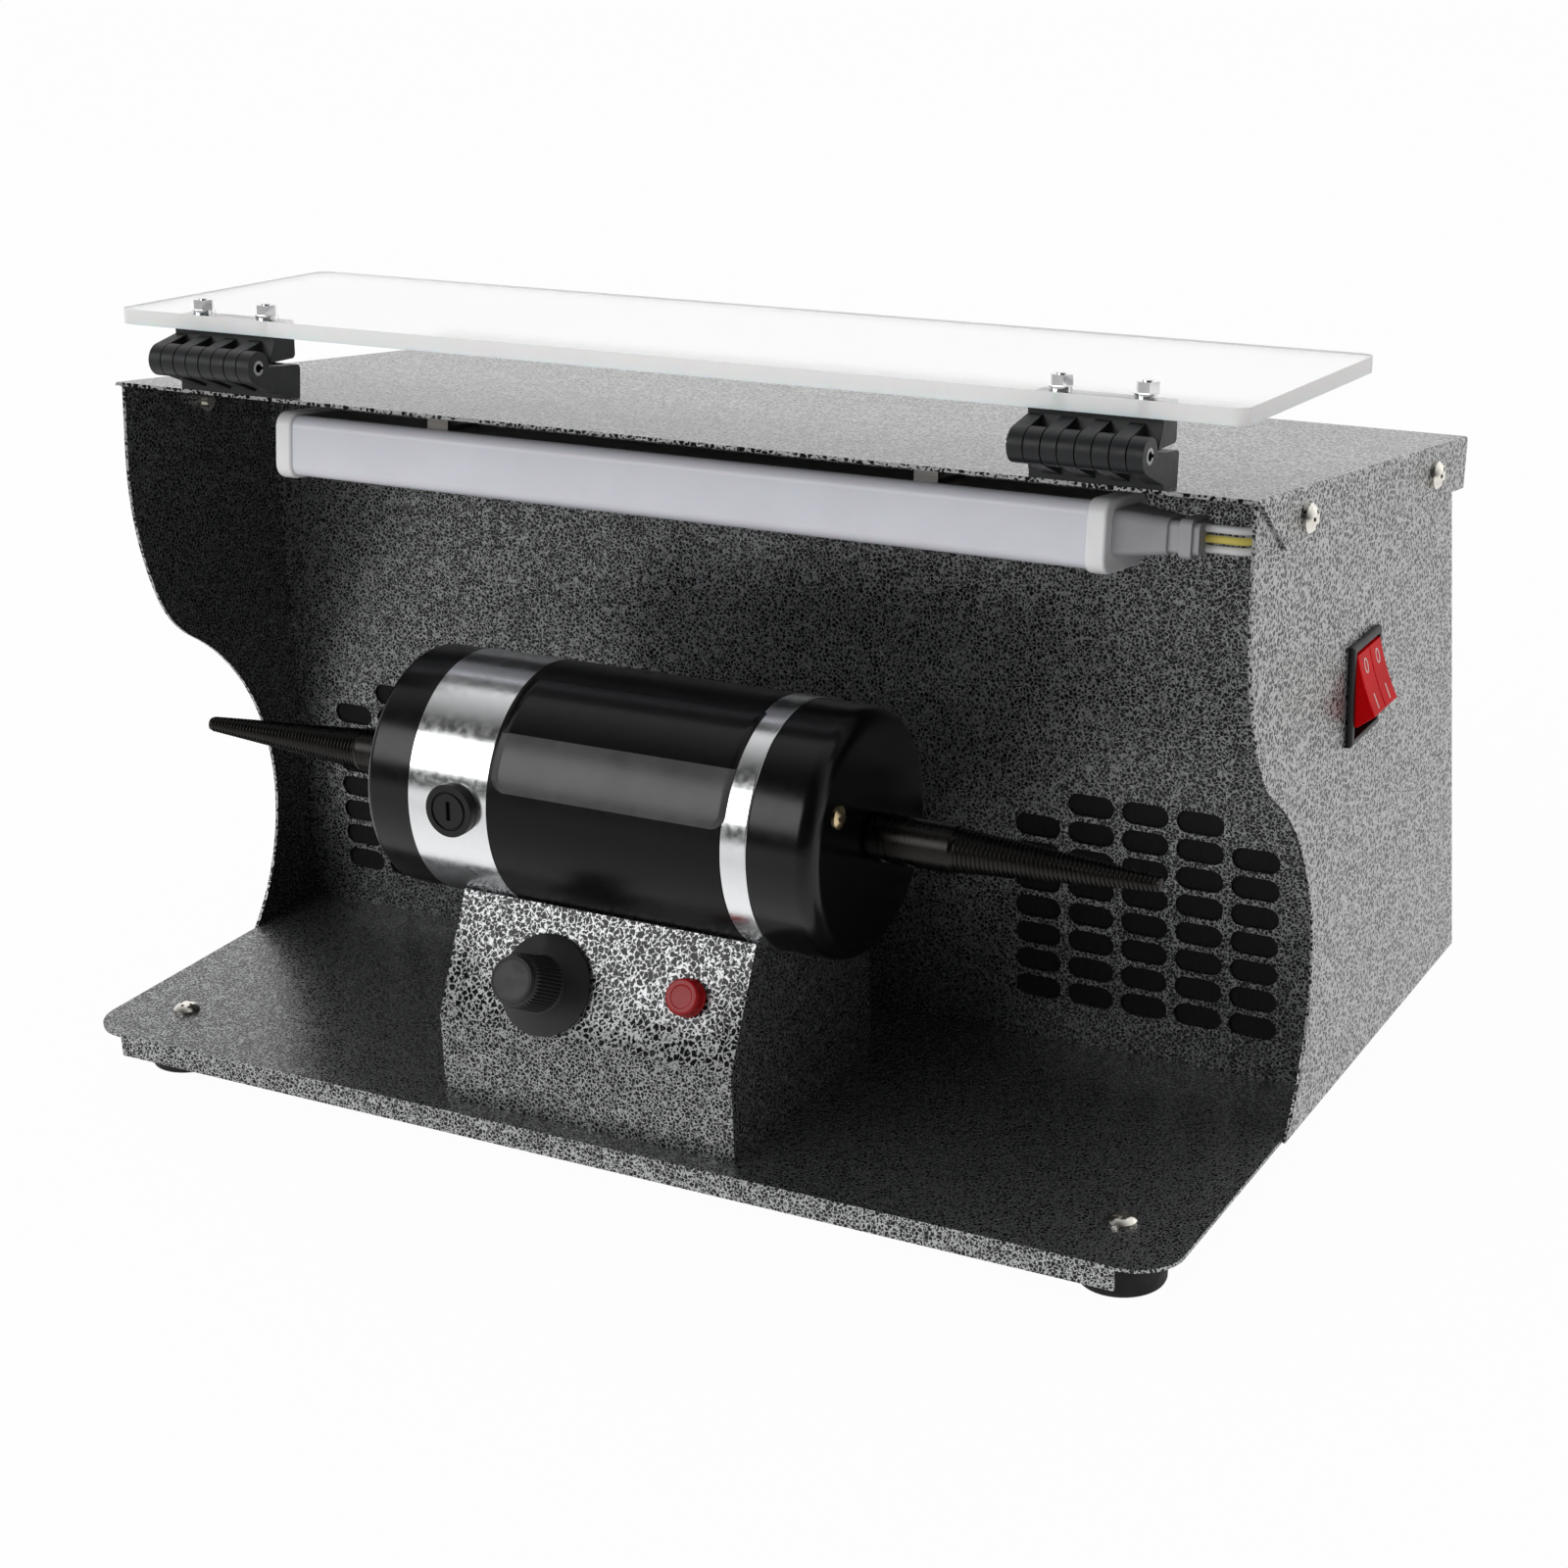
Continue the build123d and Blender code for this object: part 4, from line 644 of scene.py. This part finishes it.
def grid_faces(rows: int, count: int, closed: bool) -> Array:
    """Numbers the four-cornered faces of a grid of points.

    Args:
        rows: the grid's rows.
        count: points in a row.
        closed: whether the last point of a row joins its first.

    Returns:
        The points' numbers of each face, one face a row.
    """
    row = np.arange(rows - 1)[:, None] * count
    here = np.arange(count if closed else count - 1)[None, :]
    after = (here + 1) % count
    faces = np.stack([row + here, row + after, row + count + after, row + count + here], axis=-1)
    return faces.reshape(-1, 4)


def softened(corners: Array, radius: float, steps: int = 6) -> Array:
    """Rounds the inner corners of a line by quadratic curves.

    Each corner P is cut back to A and B by the radius, or less on short runs, and the points between are
    (1-t)^2 A + 2t(1-t) P + t^2 B.

    Args:
        corners: the line's points.
        radius: how far each corner is cut back.
        steps: points in each curve.

    Returns:
        The points of the rounded line.
    """
    before, middle, after = corners[:-2], corners[1:-1], corners[2:]
    to_before = before - middle
    to_after = after - middle
    long_before = np.linalg.norm(to_before, axis=1, keepdims=True)
    long_after = np.linalg.norm(to_after, axis=1, keepdims=True)
    cut = np.minimum(radius, 0.45 * np.minimum(long_before, long_after))
    start = middle + to_before / long_before * cut
    end = middle + to_after / long_after * cut
    t = np.linspace(0.0, 1.0, steps)[None, :, None]
    curve = (1 - t) ** 2 * start[:, None] + 2 * t * (1 - t) * middle[:, None] + t**2 * end[:, None]
    return np.vstack([corners[:1], curve.reshape(-1, corners.shape[1]), corners[-1:]])


@dataclass
class Studio:
    """White room with soft boxes, and the camera at the photograph's viewing angle."""

    eye: tuple[float, float, float] = (0.4796, -0.8284, 0.4511)
    yaw: float = 29.63
    pitch: float = 21.11
    roll: float = -2.05
    lens: float = 68.753
    shift_x: float = -0.0047
    shift_y: float = 0.0183
    room_light: float = 0.6
    front_light: float = 0.035
    front_dark: float = -0.4
    back_white: float = 0.3
    floor_white: float = 0.97
    floor_dark: float = -0.42
    floor_near: float = -0.16
    floor_reach: float = 6.0

    def build(self) -> None:
        """Makes the camera, the lamps, the room and the floor."""
        self.camera()
        self.room()
        self.floor()
        self.lamp("key_box", (-1.0, -1.62, 1.0), (0.0, -0.1, 0.1), (1.5, 0.9), 14.0)
        self.lamp("back_box", (-1.07, 1.74, 1.05), (0.0, 0.0, 0.2), (1.5, 1.0), 1.0)
        self.lamp("side_box", (1.1, 1.25, 0.6), (0.15, 0.0, 0.1), (1.0, 0.9), 1.0)

    def camera(self) -> None:
        """Turns the camera by yaw about Z, then pitch down, then roll about its own view line."""
        yaw, pitch, roll = (math.radians(angle) for angle in (self.yaw, self.pitch, self.roll))
        ahead = Vector((-math.sin(yaw) * math.cos(pitch), math.cos(yaw) * math.cos(pitch), -math.sin(pitch)))
        right = ahead.cross(Vector((0.0, 0.0, 1.0))).normalized()
        up = right.cross(ahead)
        side = right * math.cos(roll) + up * math.sin(roll)
        top = up * math.cos(roll) - right * math.sin(roll)
        data = bpy.data.cameras.new("camera")
        data.lens = self.lens
        data.sensor_width = 36.0
        data.sensor_fit = "HORIZONTAL"
        data.shift_x = self.shift_x
        data.shift_y = self.shift_y
        thing = bpy.data.objects.new("camera", data)
        turn = Matrix((side, top, -ahead)).transposed().to_4x4()
        thing.matrix_world = Matrix.Translation(self.eye) @ turn
        bpy.context.scene.collection.objects.link(thing)
        bpy.context.scene.camera = thing

    def room(self) -> None:
        """Lights the room evenly, and shows white to the camera and in glossy and clear surfaces."""
        world = bpy.data.worlds.new("room")
        bpy.context.scene.world = world
        world.use_nodes = True
        tree = world.node_tree
        back = tree.nodes["Background"]
        back.inputs["Color"].default_value = (1.0, 1.0, 1.0, 1.0)
        where = tree.nodes.new("ShaderNodeTexCoord").outputs["Generated"]
        power = self.seen(tree, where, self.front_dark, self.back_white, self.room_light)
        tree.links.new(power, back.inputs["Strength"])
        world.cycles.sampling_method = "NONE"

    def seen(
        self,
        tree: bpy.types.NodeTree,
        where: bpy.types.NodeSocket,
        dark: float,
        white: float,
        given: float = 0.0,
    ) -> bpy.types.NodeSocket:
        """Returns how white the studio looks to a ray, by the ray's kind and by how far back the spot lies.

        Args:
            tree: the nodes to add to.
            where: the spot, or its direction.
            dark: depth at which the room in front is at its dimmest.
            white: depth from which a mirrored ray sees full white.
            given: light for rays that only carry light.

        Returns:
            1 for a straight ray and one through clear sheet, up to 1 for a mirrored one, given for the rest.
        """
        depth = tree.nodes.new("ShaderNodeSeparateXYZ")
        tree.links.new(where, depth.inputs[0])
        mirrored = tree.nodes.new("ShaderNodeMapRange")
        mirrored.inputs["From Min"].default_value = dark
        mirrored.inputs["From Max"].default_value = white
        mirrored.inputs["To Min"].default_value = self.front_light
        tree.links.new(depth.outputs["Y"], mirrored.inputs["Value"])
        path = tree.nodes.new("ShaderNodeLightPath")
        shares = {"Is Camera Ray": 1.0, "Is Transmission Ray": 1.0, "Is Glossy Ray": mirrored.outputs[0]}
        shares["Is Diffuse Ray"] = given
        total = None
        for kind, share in shares.items():
            node = tree.nodes.new("ShaderNodeMath")
            node.operation = "MULTIPLY_ADD"
            node.inputs[2].default_value = 0.0
            tree.links.new(path.outputs[kind], node.inputs[0])
            if isinstance(share, float):
                node.inputs[1].default_value = share
            else:
                tree.links.new(share, node.inputs[1])
            if total is not None:
                tree.links.new(total, node.inputs[2])
            total = node.outputs[0]
        node.use_clamp = True
        return total

    def floor(self) -> None:
        """Makes the floor, white to the eye but for a faint shadow."""
        mesh = bpy.data.meshes.new("studio_floor")
        signs = ((-1, -1), (1, -1), (1, 1), (-1, 1))
        corners = [(a * self.floor_reach, b * self.floor_reach, 0.0) for a, b in signs]
        mesh.from_pydata(corners, [], [(0, 1, 2, 3)])
        thing = bpy.data.objects.new("studio_floor", mesh)
        bpy.context.scene.collection.objects.link(thing)
        graph = Graph("floor_white")
        graph.set(Base_Color=(0.8, 0.8, 0.8), Roughness=0.6)
        glow = graph.add("ShaderNodeEmission")
        mix = graph.add("ShaderNodeMixShader")
        white = self.seen(graph.tree, graph.spot, self.floor_dark, self.floor_near)
        graph.feed(mix.inputs[0], graph.maths("MULTIPLY", white, self.floor_white))
        graph.feed(mix.inputs[1], graph.shader.outputs[0])
        graph.feed(mix.inputs[2], glow.outputs[0])
        output = next(node for node in graph.tree.nodes if node.type == "OUTPUT_MATERIAL")
        graph.feed(output.inputs["Surface"], mix.outputs[0])
        graph.material.cycles.emission_sampling = "NONE"
        mesh.materials.append(graph.material)

    def lamp(
        self,
        name: str,
        place: tuple[float, float, float],
        target: tuple[float, float, float],
        size: tuple[float, float],
        watts: float,
    ) -> None:
        """Makes one soft box that faces a target."""
        data = bpy.data.lights.new(name, "AREA")
        data.shape = "RECTANGLE"
        data.size, data.size_y = size
        data.energy = watts
        thing = bpy.data.objects.new(name, data)
        aim = (Vector(target) - Vector(place)).to_track_quat("-Z", "Y").to_matrix().to_4x4()
        thing.matrix_world = Matrix.Translation(place) @ aim
        thing.visible_camera = False
        bpy.context.scene.collection.objects.link(thing)


@dataclass
class Shell:
    """Hood, base and pedestal of hammertone sheet steel, with screws and feet."""

    edge: float = 0.45

    def build(self, shop: Workshop) -> None:
        """Rounds the panels' edges and dresses the rest; the outer panels' paint has larger cells, and faces
        inside the hood get darker veins as painted shade.
        """
        base = shop.rounded("base_plate", Body.MACHINE, "hammertone", self.edge)
        # the base's top face and the panels' inner faces lie inside the hood and get the darker veins as
        # painted shade
        shop.second_finish(base, "hammertone_painted_shade", np.array([0.0, 0.0, 1.0]))
        shop.rounded("top_cover", Body.MACHINE, "hammertone_coarse", self.edge)
        for node, inwards in (("left_side_panel", 1.0), ("right_side_panel", -1.0)):
            side = shop.rounded(node, Body.MACHINE, "hammertone_coarse", self.edge)
            shop.second_finish(side, "hammertone_painted_shade", np.array([inwards, 0.0, 0.0]))
        self.pedestal(shop)
        shop.keep("baffle", "hammertone_painted_shade")
        shop.keep("rear_panel", "hammertone_coarse")
        shop.keep("filter_frames", "hammertone")
        shop.rounded("rubber_feet", Body.MACHINE, "foot_rubber", 1.0)
        shop.rounded("case_screws", Body.MACHINE, "screw_zinc", 0.15)
        shop.keep("filter_pads", "filter_felt")
        shop.keep("motor_saddles", "saddle_alloy")

    def pedestal(self, shop: Workshop) -> None:
        """Rounds the pedestal and gives its leaning face the thicker paint."""
        thing = shop.rounded("pedestal", Body.MACHINE, "hammertone", self.edge)
        shop.second_finish(thing, "hammertone_thick", PANEL_SEAT.axes()[2])


@dataclass
class Motor:
    """Motor case: caps, aluminium bands, black field housing with its bare label, and brush caps."""

    label_left: float = -33.0
    label_right: float = 51.0
    label_top: float = 104.5
    label_split: float = 137.5
    label_bottom: float = 165.0
    label_corner: float = 5.0
    label_lift: float = 0.06
    label_film: float = 0.12
    label_gap: float = 0.15

    def build(self, shop: Workshop) -> None:
        """Dresses the case and adds the label."""
        shop.rounded("field_housing", Body.MACHINE, "field_black", 0.3)
        shop.rounded("end_bracket_left", Body.MACHINE, "band_aluminium", 0.35)
        shop.rounded("end_bracket_right", Body.MACHINE, "band_aluminium", 0.5)
        shop.rounded("end_cap_left", Body.MACHINE, "cap_black", 0.4)
        shop.rounded("end_cap_right", Body.MACHINE, "cap_black", 0.4)
        shop.rounded("cap_screws", Body.MACHINE, "screw_brass", 0.12)
        shop.rounded("brush_caps", Body.MACHINE, "black_plastic", 0.3)
        self.label(shop)
        for node, finish in (
            ("bearings", "bearing_steel"),
            ("stator_core", "lamination"),
            ("field_coils", "copper_wire"),
            ("brush_holders", "insulator"),
            ("carbon_brushes", "carbon"),
            ("shaft", "bearing_steel"),
            ("armature_core", "lamination"),
            ("armature_windings", "copper_wire"),
            ("commutator", "copper_wire"),
            ("cooling_fan", "black_plastic"),
            ("set_screws", "black_oxide"),
        ):
            shop.keep(node, finish)

    def patch(
        self, shop: Workshop, name: str, top: float, bottom: float, corners: tuple[float, float]
    ) -> bpy.types.Object:
        """Makes one curved label field with two of its corners rounded.

        A point at share s along the motor and share t round it lies at angle top + t (bottom - top); near
        the rounded end the field narrows as a quarter circle, x inset = r - sqrt(r^2 - (r - d)^2) at d from
        the edge.

        Args:
            shop: the workshop.
            name: the piece's name.
            top: the angle of the upper edge, in degrees from the back over the top.
            bottom: the angle of the lower edge.
            corners: corner radii at the upper and lower edge in millimetres.

        Returns:
            The new object.
        """
        radius = DATUM.motor_radius + self.label_lift
        arc = math.radians(bottom - top) * radius
        steps = np.unique(np.concatenate([np.linspace(0, 1, 40), 1 - np.linspace(0, 1, 12) ** 2 * 0.2]))
        away_top = steps * arc
        away_bottom = arc - away_top
        inset = np.zeros_like(steps)
        for away, corner in ((away_top, corners[0]), (away_bottom, corners[1])):
            if corner:
                near = np.clip(corner - away, 0, corner)
                inset = np.maximum(inset, corner - np.sqrt(np.maximum(corner**2 - near**2, 0)))
        share = np.linspace(0, 1, 30)[:, None]
        left = self.label_left + inset[None, :]
        right = self.label_right - inset[None, :]
        x = left + share * (right - left)
        angle = np.radians(top + steps * (bottom - top))[None, :] + np.zeros_like(x)
        y = DATUM.motor_y + radius * np.cos(angle)
        z = DATUM.motor_z + radius * np.sin(angle)
        outer = np.stack([x, y, z], axis=-1)
        faces = grid_faces(outer.shape[0], outer.shape[1], False)
        thing = shop.solid(name, outer.reshape(-1, 3), faces, shut=False)
        if thing.data.polygons[0].normal.dot(Vector((0.0, -1.0, 0.4))) < 0:
            thing.data.flip_normals()
        thick = thing.modifiers.new("film", "SOLIDIFY")
        thick.thickness = self.label_film * MM
        thick.offset = 1.0
        return thing

    def label(self, shop: Workshop) -> None:
        """Adds a plain two-tone label: black above, grey with rounded corners below."""
        upper = self.patch(shop, "label_upper", self.label_top, self.label_split, (0.0, 0.0))
        shop.settle(upper, Body.MACHINE, "label_black")
        start = self.label_split + self.label_gap
        lower = self.patch(shop, "label_lower", start, self.label_bottom, (0.0, self.label_corner))
        shop.settle(lower, Body.MACHINE, "label_grey")


@dataclass
class Spindles:
    """The two tapered spindles with their plain collars and fine screw thread."""

    start: float = 81.5
    collar_length: float = 28.5
    thread_length: float = 64.6
    collar_radius: float = 7.5
    root_radius: float = 7.0
    tip_radius: float = 2.6
    pitch: float = 1.45
    depth: float = 0.55
    hole_radius: float = 2.0
    hole_places: tuple[float, float] = (6.5, 15.0)
    hole_angle: float = 225.0
    hole_depth: float = 1.3
    hole_fade: float = 0.4
    edge_depth: float = 0.45
    edge_reach: float = 0.6
    thread_fade: float = 1.2
    tip_length: float = 1.4
    count: int = 84

    def grid(self) -> Array:
        """Returns the right spindle's points about its own axis.

        With p the fraction of s / pitch - a / 2 pi at length s and angle a, the thread's radius is the taper
        less depth times 1.35 |2 p - 1| - 0.2, kept from 0 to 1, so the crest climbs one pitch each turn. The
        collar's ends are quarter ovals, and round each set screw its radius dips by the hole's depth.
        """
        collar = np.linspace(0.0, self.collar_length, 96)
        thread = np.linspace(0.0, self.thread_length, int(self.thread_length / self.pitch * 8))[1:]
        angle = np.linspace(0.0, 2.0 * np.pi, self.count, endpoint=False)[None, :]
        s = collar[:, None]
        edge = np.clip(np.minimum(s, self.collar_length - s) / self.edge_reach, 0, 1)
        plain = self.collar_radius - self.edge_depth * (1 - np.sqrt(1 - (1 - edge) ** 2)) + 0 * angle
        away = np.abs(np.angle(np.exp(1j * (angle - np.radians(self.hole_angle))))) * self.collar_radius
        for place in self.hole_places:
            reach = np.hypot(s - place, away)
            inside = (self.hole_radius + self.hole_fade / 2 - reach) / self.hole_fade
            plain = plain - self.hole_depth * np.clip(inside, 0, 1)
        s = thread[:, None]
        phase = (s / self.pitch - angle / (2.0 * np.pi)) % 1.0
        saw = np.abs(phase * 2.0 - 1.0)
        fade = np.clip(s / self.thread_fade, 0, 1)
        taper = self.root_radius + (self.tip_radius - self.root_radius) * s / self.thread_length
        wound = taper - self.depth * fade * np.clip(saw * 1.35 - 0.2, 0, 1)
        tip = np.array([[0.7], [1.1]])
        round_s = self.thread_length + tip
        round_r = self.tip_radius * np.sqrt(np.clip(1 - (tip / self.tip_length) ** 2, 0, 1)) + 0 * angle
        radius = np.vstack([0 * angle, plain, wound, round_r, 0 * angle])
        beyond = self.collar_length + np.vstack([s, round_s])
        along = np.vstack([collar[:1, None], collar[:, None], beyond, beyond[-1:]]) + 0 * angle
        x = self.start + along
        y = radius * np.cos(angle)
        z = radius * np.sin(angle)
        return np.stack([x, y, z], axis=-1)

    def build(self, shop: Workshop) -> None:
        """Makes both spindles; the left one is the right one's points with X turned over."""
        points = self.grid()
        for side, node in ((1.0, "right_spindle"), (-1.0, "left_spindle")):
            place = points * np.array([side, 1.0, 1.0]) + np.array([0.0, DATUM.motor_y, DATUM.motor_z])
            thing = shop.skin(node + "_thread", place, 50.0)
            shop.settle(thing, Body.SPINDLE, "black_oxide", (node,))


@dataclass
class Controls:
    """Speed knob and pilot lamp on the pedestal's leaning face."""

    knob_across: float = -16.5
    knob_up: float = 15.7
    knob_lift: float = 0.6
    skirt_radius: float = 16.5
    grip_radius: float = 9.0
    knob_height: float = 22.0
    flutes: int = 44
    flute_depth: float = 0.55
    lamp_across: float = 34.4
    lamp_up: float = 20.7
    lens_radius: float = 5.8
    lens_height: float = 5.0
    lens_dish: float = 0.12

    def build(self, shop: Workshop) -> None:
        """Makes the knob and the lens, and dresses what stands behind them."""
        self.knob(shop)
        self.lens(shop)
        for node, finish in (
            ("potentiometer", "bearing_steel"),
            ("pot_shaft", "bearing_steel"),
            ("pilot_body", "white_plastic"),
            ("control_board", "circuit_board"),
        ):
            shop.keep(node, finish)

    def knob(self, shop: Workshop) -> None:
        """Makes the knob: a turned profile whose grip dips by d (1 - |sin(n a / 2)|)^1.5 between n ribs."""
        lift, top, grip = self.knob_lift, self.knob_height, self.grip_radius
        corners = np.array(
            [
                (lift + 3.0, 0.0), (lift + 3.0, 7.4), (lift, 7.4), (lift, self.skirt_radius - 0.2),
                (lift + 1.3, self.skirt_radius), (lift + 4.4, grip + 1.6), (lift + 5.0, grip + 0.1),
                (top - 3.4, grip - 0.25), (top - 2.2, grip - 1.2), (top - 0.2, grip - 1.6),
                (top - 0.5, grip - 2.6), (top - 0.6, 0.0),
            ]
        )
        profile = softened(corners, 0.5, 4)
        turn = np.linspace(0.0, 2.0 * np.pi, self.flutes * 8, endpoint=False)[None, :]
        height = profile[:, :1] + 0 * turn
        ribbed = (height > lift + 5.3) & (height < top - 2.6) & (profile[:, 1:] > grip - 1.2)
        dip = (1 - np.abs(np.sin(self.flutes * turn / 2))) ** 1.5
        radius = profile[:, 1:] - self.flute_depth * dip * ribbed
        seat = PANEL_SEAT.shifted(self.knob_across, self.knob_up)
        local = np.stack([radius * np.cos(turn), radius * np.sin(turn), height], axis=-1)
        thing = shop.skin("knob_grip", seat.place(local), 40.0)
        shop.settle(thing, Body.KNOB, "knob_black", ("speed_knob",))

    def lens(self, shop: Workshop) -> None:
        """Makes the lens: a turned cap with a smooth wall and a flat crown, dished inside a ring."""
        reach, top, dish = self.lens_radius, self.lens_height, self.lens_dish
        corners = np.array(
            [
                (0.02, 0.0), (0.02, reach + 0.4), (0.8, reach + 0.4), (1.2, reach + 0.1),
                (top - 0.5, reach), (top, reach - 0.45), (top, 3.8), (top - dish, 3.5), (top - dish, 0.0),
            ]
        )
        profile = softened(corners, 0.3, 3)
        seat = PANEL_SEAT.shifted(self.lamp_across, self.lamp_up)
        thing = shop.turned("lamp_lens", seat, profile, crease=40.0)
        shop.settle(thing, Body.MACHINE, "red_lens", ("pilot_lens",))


@dataclass
class LightBar:
    """Light bar under the cover with its plug and lead."""

    def build(self, shop: Workshop) -> None:
        """Rounds the bar's caps and plug and dresses the rest."""
        shop.rounded("led_diffuser", Body.MACHINE, "diffuser", 0.25)
        shop.rounded("led_channel", Body.MACHINE, "channel_aluminium", 0.2)
        shop.rounded("led_end_caps", Body.MACHINE, "white_plastic", 1.0, 3)
        shop.rounded("led_plug", Body.MACHINE, "grey_plastic", 0.8, 3)
        shop.keep("led_board", "white_plastic")
        shop.keep("led_clips", "channel_aluminium")
        shop.keep("led_lead", "wire_cores")
        shop.keep("lead_grommet", "foot_rubber")


@dataclass
class ShieldSet:
    """Clear shield with its two hinges and their screws."""

    def build(self, shop: Workshop) -> None:
        """Rounds the hinge leaves and the sheet, and dresses pins, screws and nuts."""
        shop.rounded("hinge_lower_leaves", Body.MACHINE, "hinge_nylon", 0.55, 3)
        shop.rounded("hinge_upper_leaves", Body.SHIELD, "hinge_nylon", 0.55, 3)
        self.sheet(shop)
        shop.rounded("shield_fasteners", Body.SHIELD, "nut_chrome", 0.3, 2)
        shop.keep("hinge_pins", "pin_steel")
        shop.keep("hinge_screws", "bearing_steel")

    def sheet(self, shop: Workshop) -> None:
        """Rounds the clear sheet and gives its sawn edges their own finish."""
        thing = shop.rounded("shield", Body.SHIELD, "acrylic", 0.25, 2)
        lean = math.radians(DATUM.shield_slope)
        flat = np.array([0.0, math.sin(lean), math.cos(lean)])
        shop.second_finish(thing, "acrylic_edge", flat, -0.7, 0.7)


@dataclass
class Switch:
    """Double rocker switch on the right side panel."""

    offset: float = 5.35
    pivot_depth: float = 6.0
    tilt: float = 18.0
    crest: float = 11.8
    valley: float = 11.2
    half_length: float = 9.9
    off_place: float = 5.4
    on_place: float = -6.1
    proud: float = 0.05
    ring: tuple[float, float] = (2.2, 1.25)
    bar: tuple[float, float] = (2.5, 0.3)
    stroke: float = 0.25
    relief: float = 0.1

    def build(self, shop: Workshop) -> None:
        """Rounds housing and rockers, and adds the plain 0 and I marks."""
        shop.rounded("switch_housing", Body.MACHINE, "black_plastic", 0.4)
        rockers = ((-1.0, "rocker_motor", Body.MOTOR_ROCKER), (1.0, "rocker_light", Body.LIGHT_ROCKER))
        for side, node, body in rockers:
            shop.rounded(node, body, "red_plastic", 0.5, 3)
            self.marks(shop, side, body)

    def seat(self, side: float, up: float) -> Seat:
        """Returns a frame on a rocker's hollow face at a height along it, its X pointing up the face."""
        chord, rise = self.half_length, self.crest - self.valley
        radius = (chord**2 + rise**2) / (2 * rise)
        drop = radius - math.sqrt(radius**2 - up**2)
        lean = math.asin(up / radius)
        tilt = math.radians(self.tilt)
        out = self.valley + drop + self.proud
        x = out * math.cos(tilt) - up * math.sin(tilt)
        z = up * math.cos(tilt) + out * math.sin(tilt)
        normal = tilt - lean
        origin = (
            SWITCH_SEAT.origin[0] - self.pivot_depth + x,
            SWITCH_SEAT.origin[1] + side * self.offset,
            SWITCH_SEAT.origin[2] + z,
        )
        along = (-math.sin(normal), 0.0, math.cos(normal))
        return Seat(origin, along, (math.cos(normal), 0.0, math.sin(normal)))

    def marks(self, shop: Workshop, side: float, body: Body) -> None:
        """Adds a ring for off near the pressed end and a bar for on near the raised end.

        The ring is an ellipse with half-axes a and b, swept by a flat oval w wide and h high each way: its
        points are (a + w cos v) cos u, (b + w cos v) sin u, h sin v. The bar is an oval drawn out along X.
        """
        turn = np.linspace(0.0, 2.0 * np.pi, 48, endpoint=False)[:, None]
        round_it = np.linspace(0.0, 2.0 * np.pi, 10, endpoint=False)[None, :]
        reach = np.cos(round_it) * self.stroke
        rise = self.relief * np.sin(round_it)
        x = (self.ring[0] + reach) * np.cos(turn)
        y = (self.ring[1] + reach) * np.sin(turn)
        ring = np.stack([x, y, rise + 0 * turn], axis=-1)
        ring = self.seat(side, self.off_place).place(np.vstack([ring, ring[:1]]))
        thing = shop.skin(f"off_mark_{body.value}", ring, 60.0, shut=False)
        shop.settle(thing, body, "mark_white")
        half = self.bar[0]
        along = np.array([-half, -half, 0.2 - half, half - 0.2, half, half])[:, None]
        thick = np.array([0.0, 0.7, 1.0, 1.0, 0.7, 0.0])[:, None]
        across = self.bar[1] * thick * np.cos(round_it)
        bar = np.stack([along + 0 * round_it, across, thick * rise], axis=-1)
        thing = shop.skin(f"on_mark_{body.value}", self.seat(side, self.on_place).place(bar), 60.0)
        shop.settle(thing, body, "mark_white")


@dataclass
class DustSide:
    """Fans, guards and cable gland behind the baffle."""

    def build(self, shop: Workshop) -> None:
        """Dresses the rear parts."""
        for node, finish in (
            ("fan_frames", "black_plastic"),
            ("fan_rotor_left", "black_plastic"),
            ("fan_rotor_right", "black_plastic"),
            ("fan_guards", "nut_chrome"),
        ):
            shop.keep(node, finish)
        shop.rounded("cable_gland", Body.MACHINE, "black_plastic", 0.3)


@dataclass
class Polisher:
    """The whole machine."""

    parts: list[object] = field(
        default_factory=lambda: [
            Shell(), Motor(), Spindles(), Controls(), LightBar(), ShieldSet(), Switch(), DustSide()
        ]
    )

    def build(self, shop: Workshop) -> None:
        """Builds every sub-assembly in order."""
        for part in self.parts:
            LOG.info("building %s", type(part).__name__)
            part.build(shop)


def main() -> None:
    """Loads the frame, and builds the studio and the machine."""
    logging.basicConfig(level=logging.INFO, format="%(message)s")
    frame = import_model()
    bpy.context.scene.view_settings.view_transform = "Standard"
    Studio().build()
    Polisher().build(Workshop(frame["nodes"], Palette()))


if __name__ == "__main__":
    main()
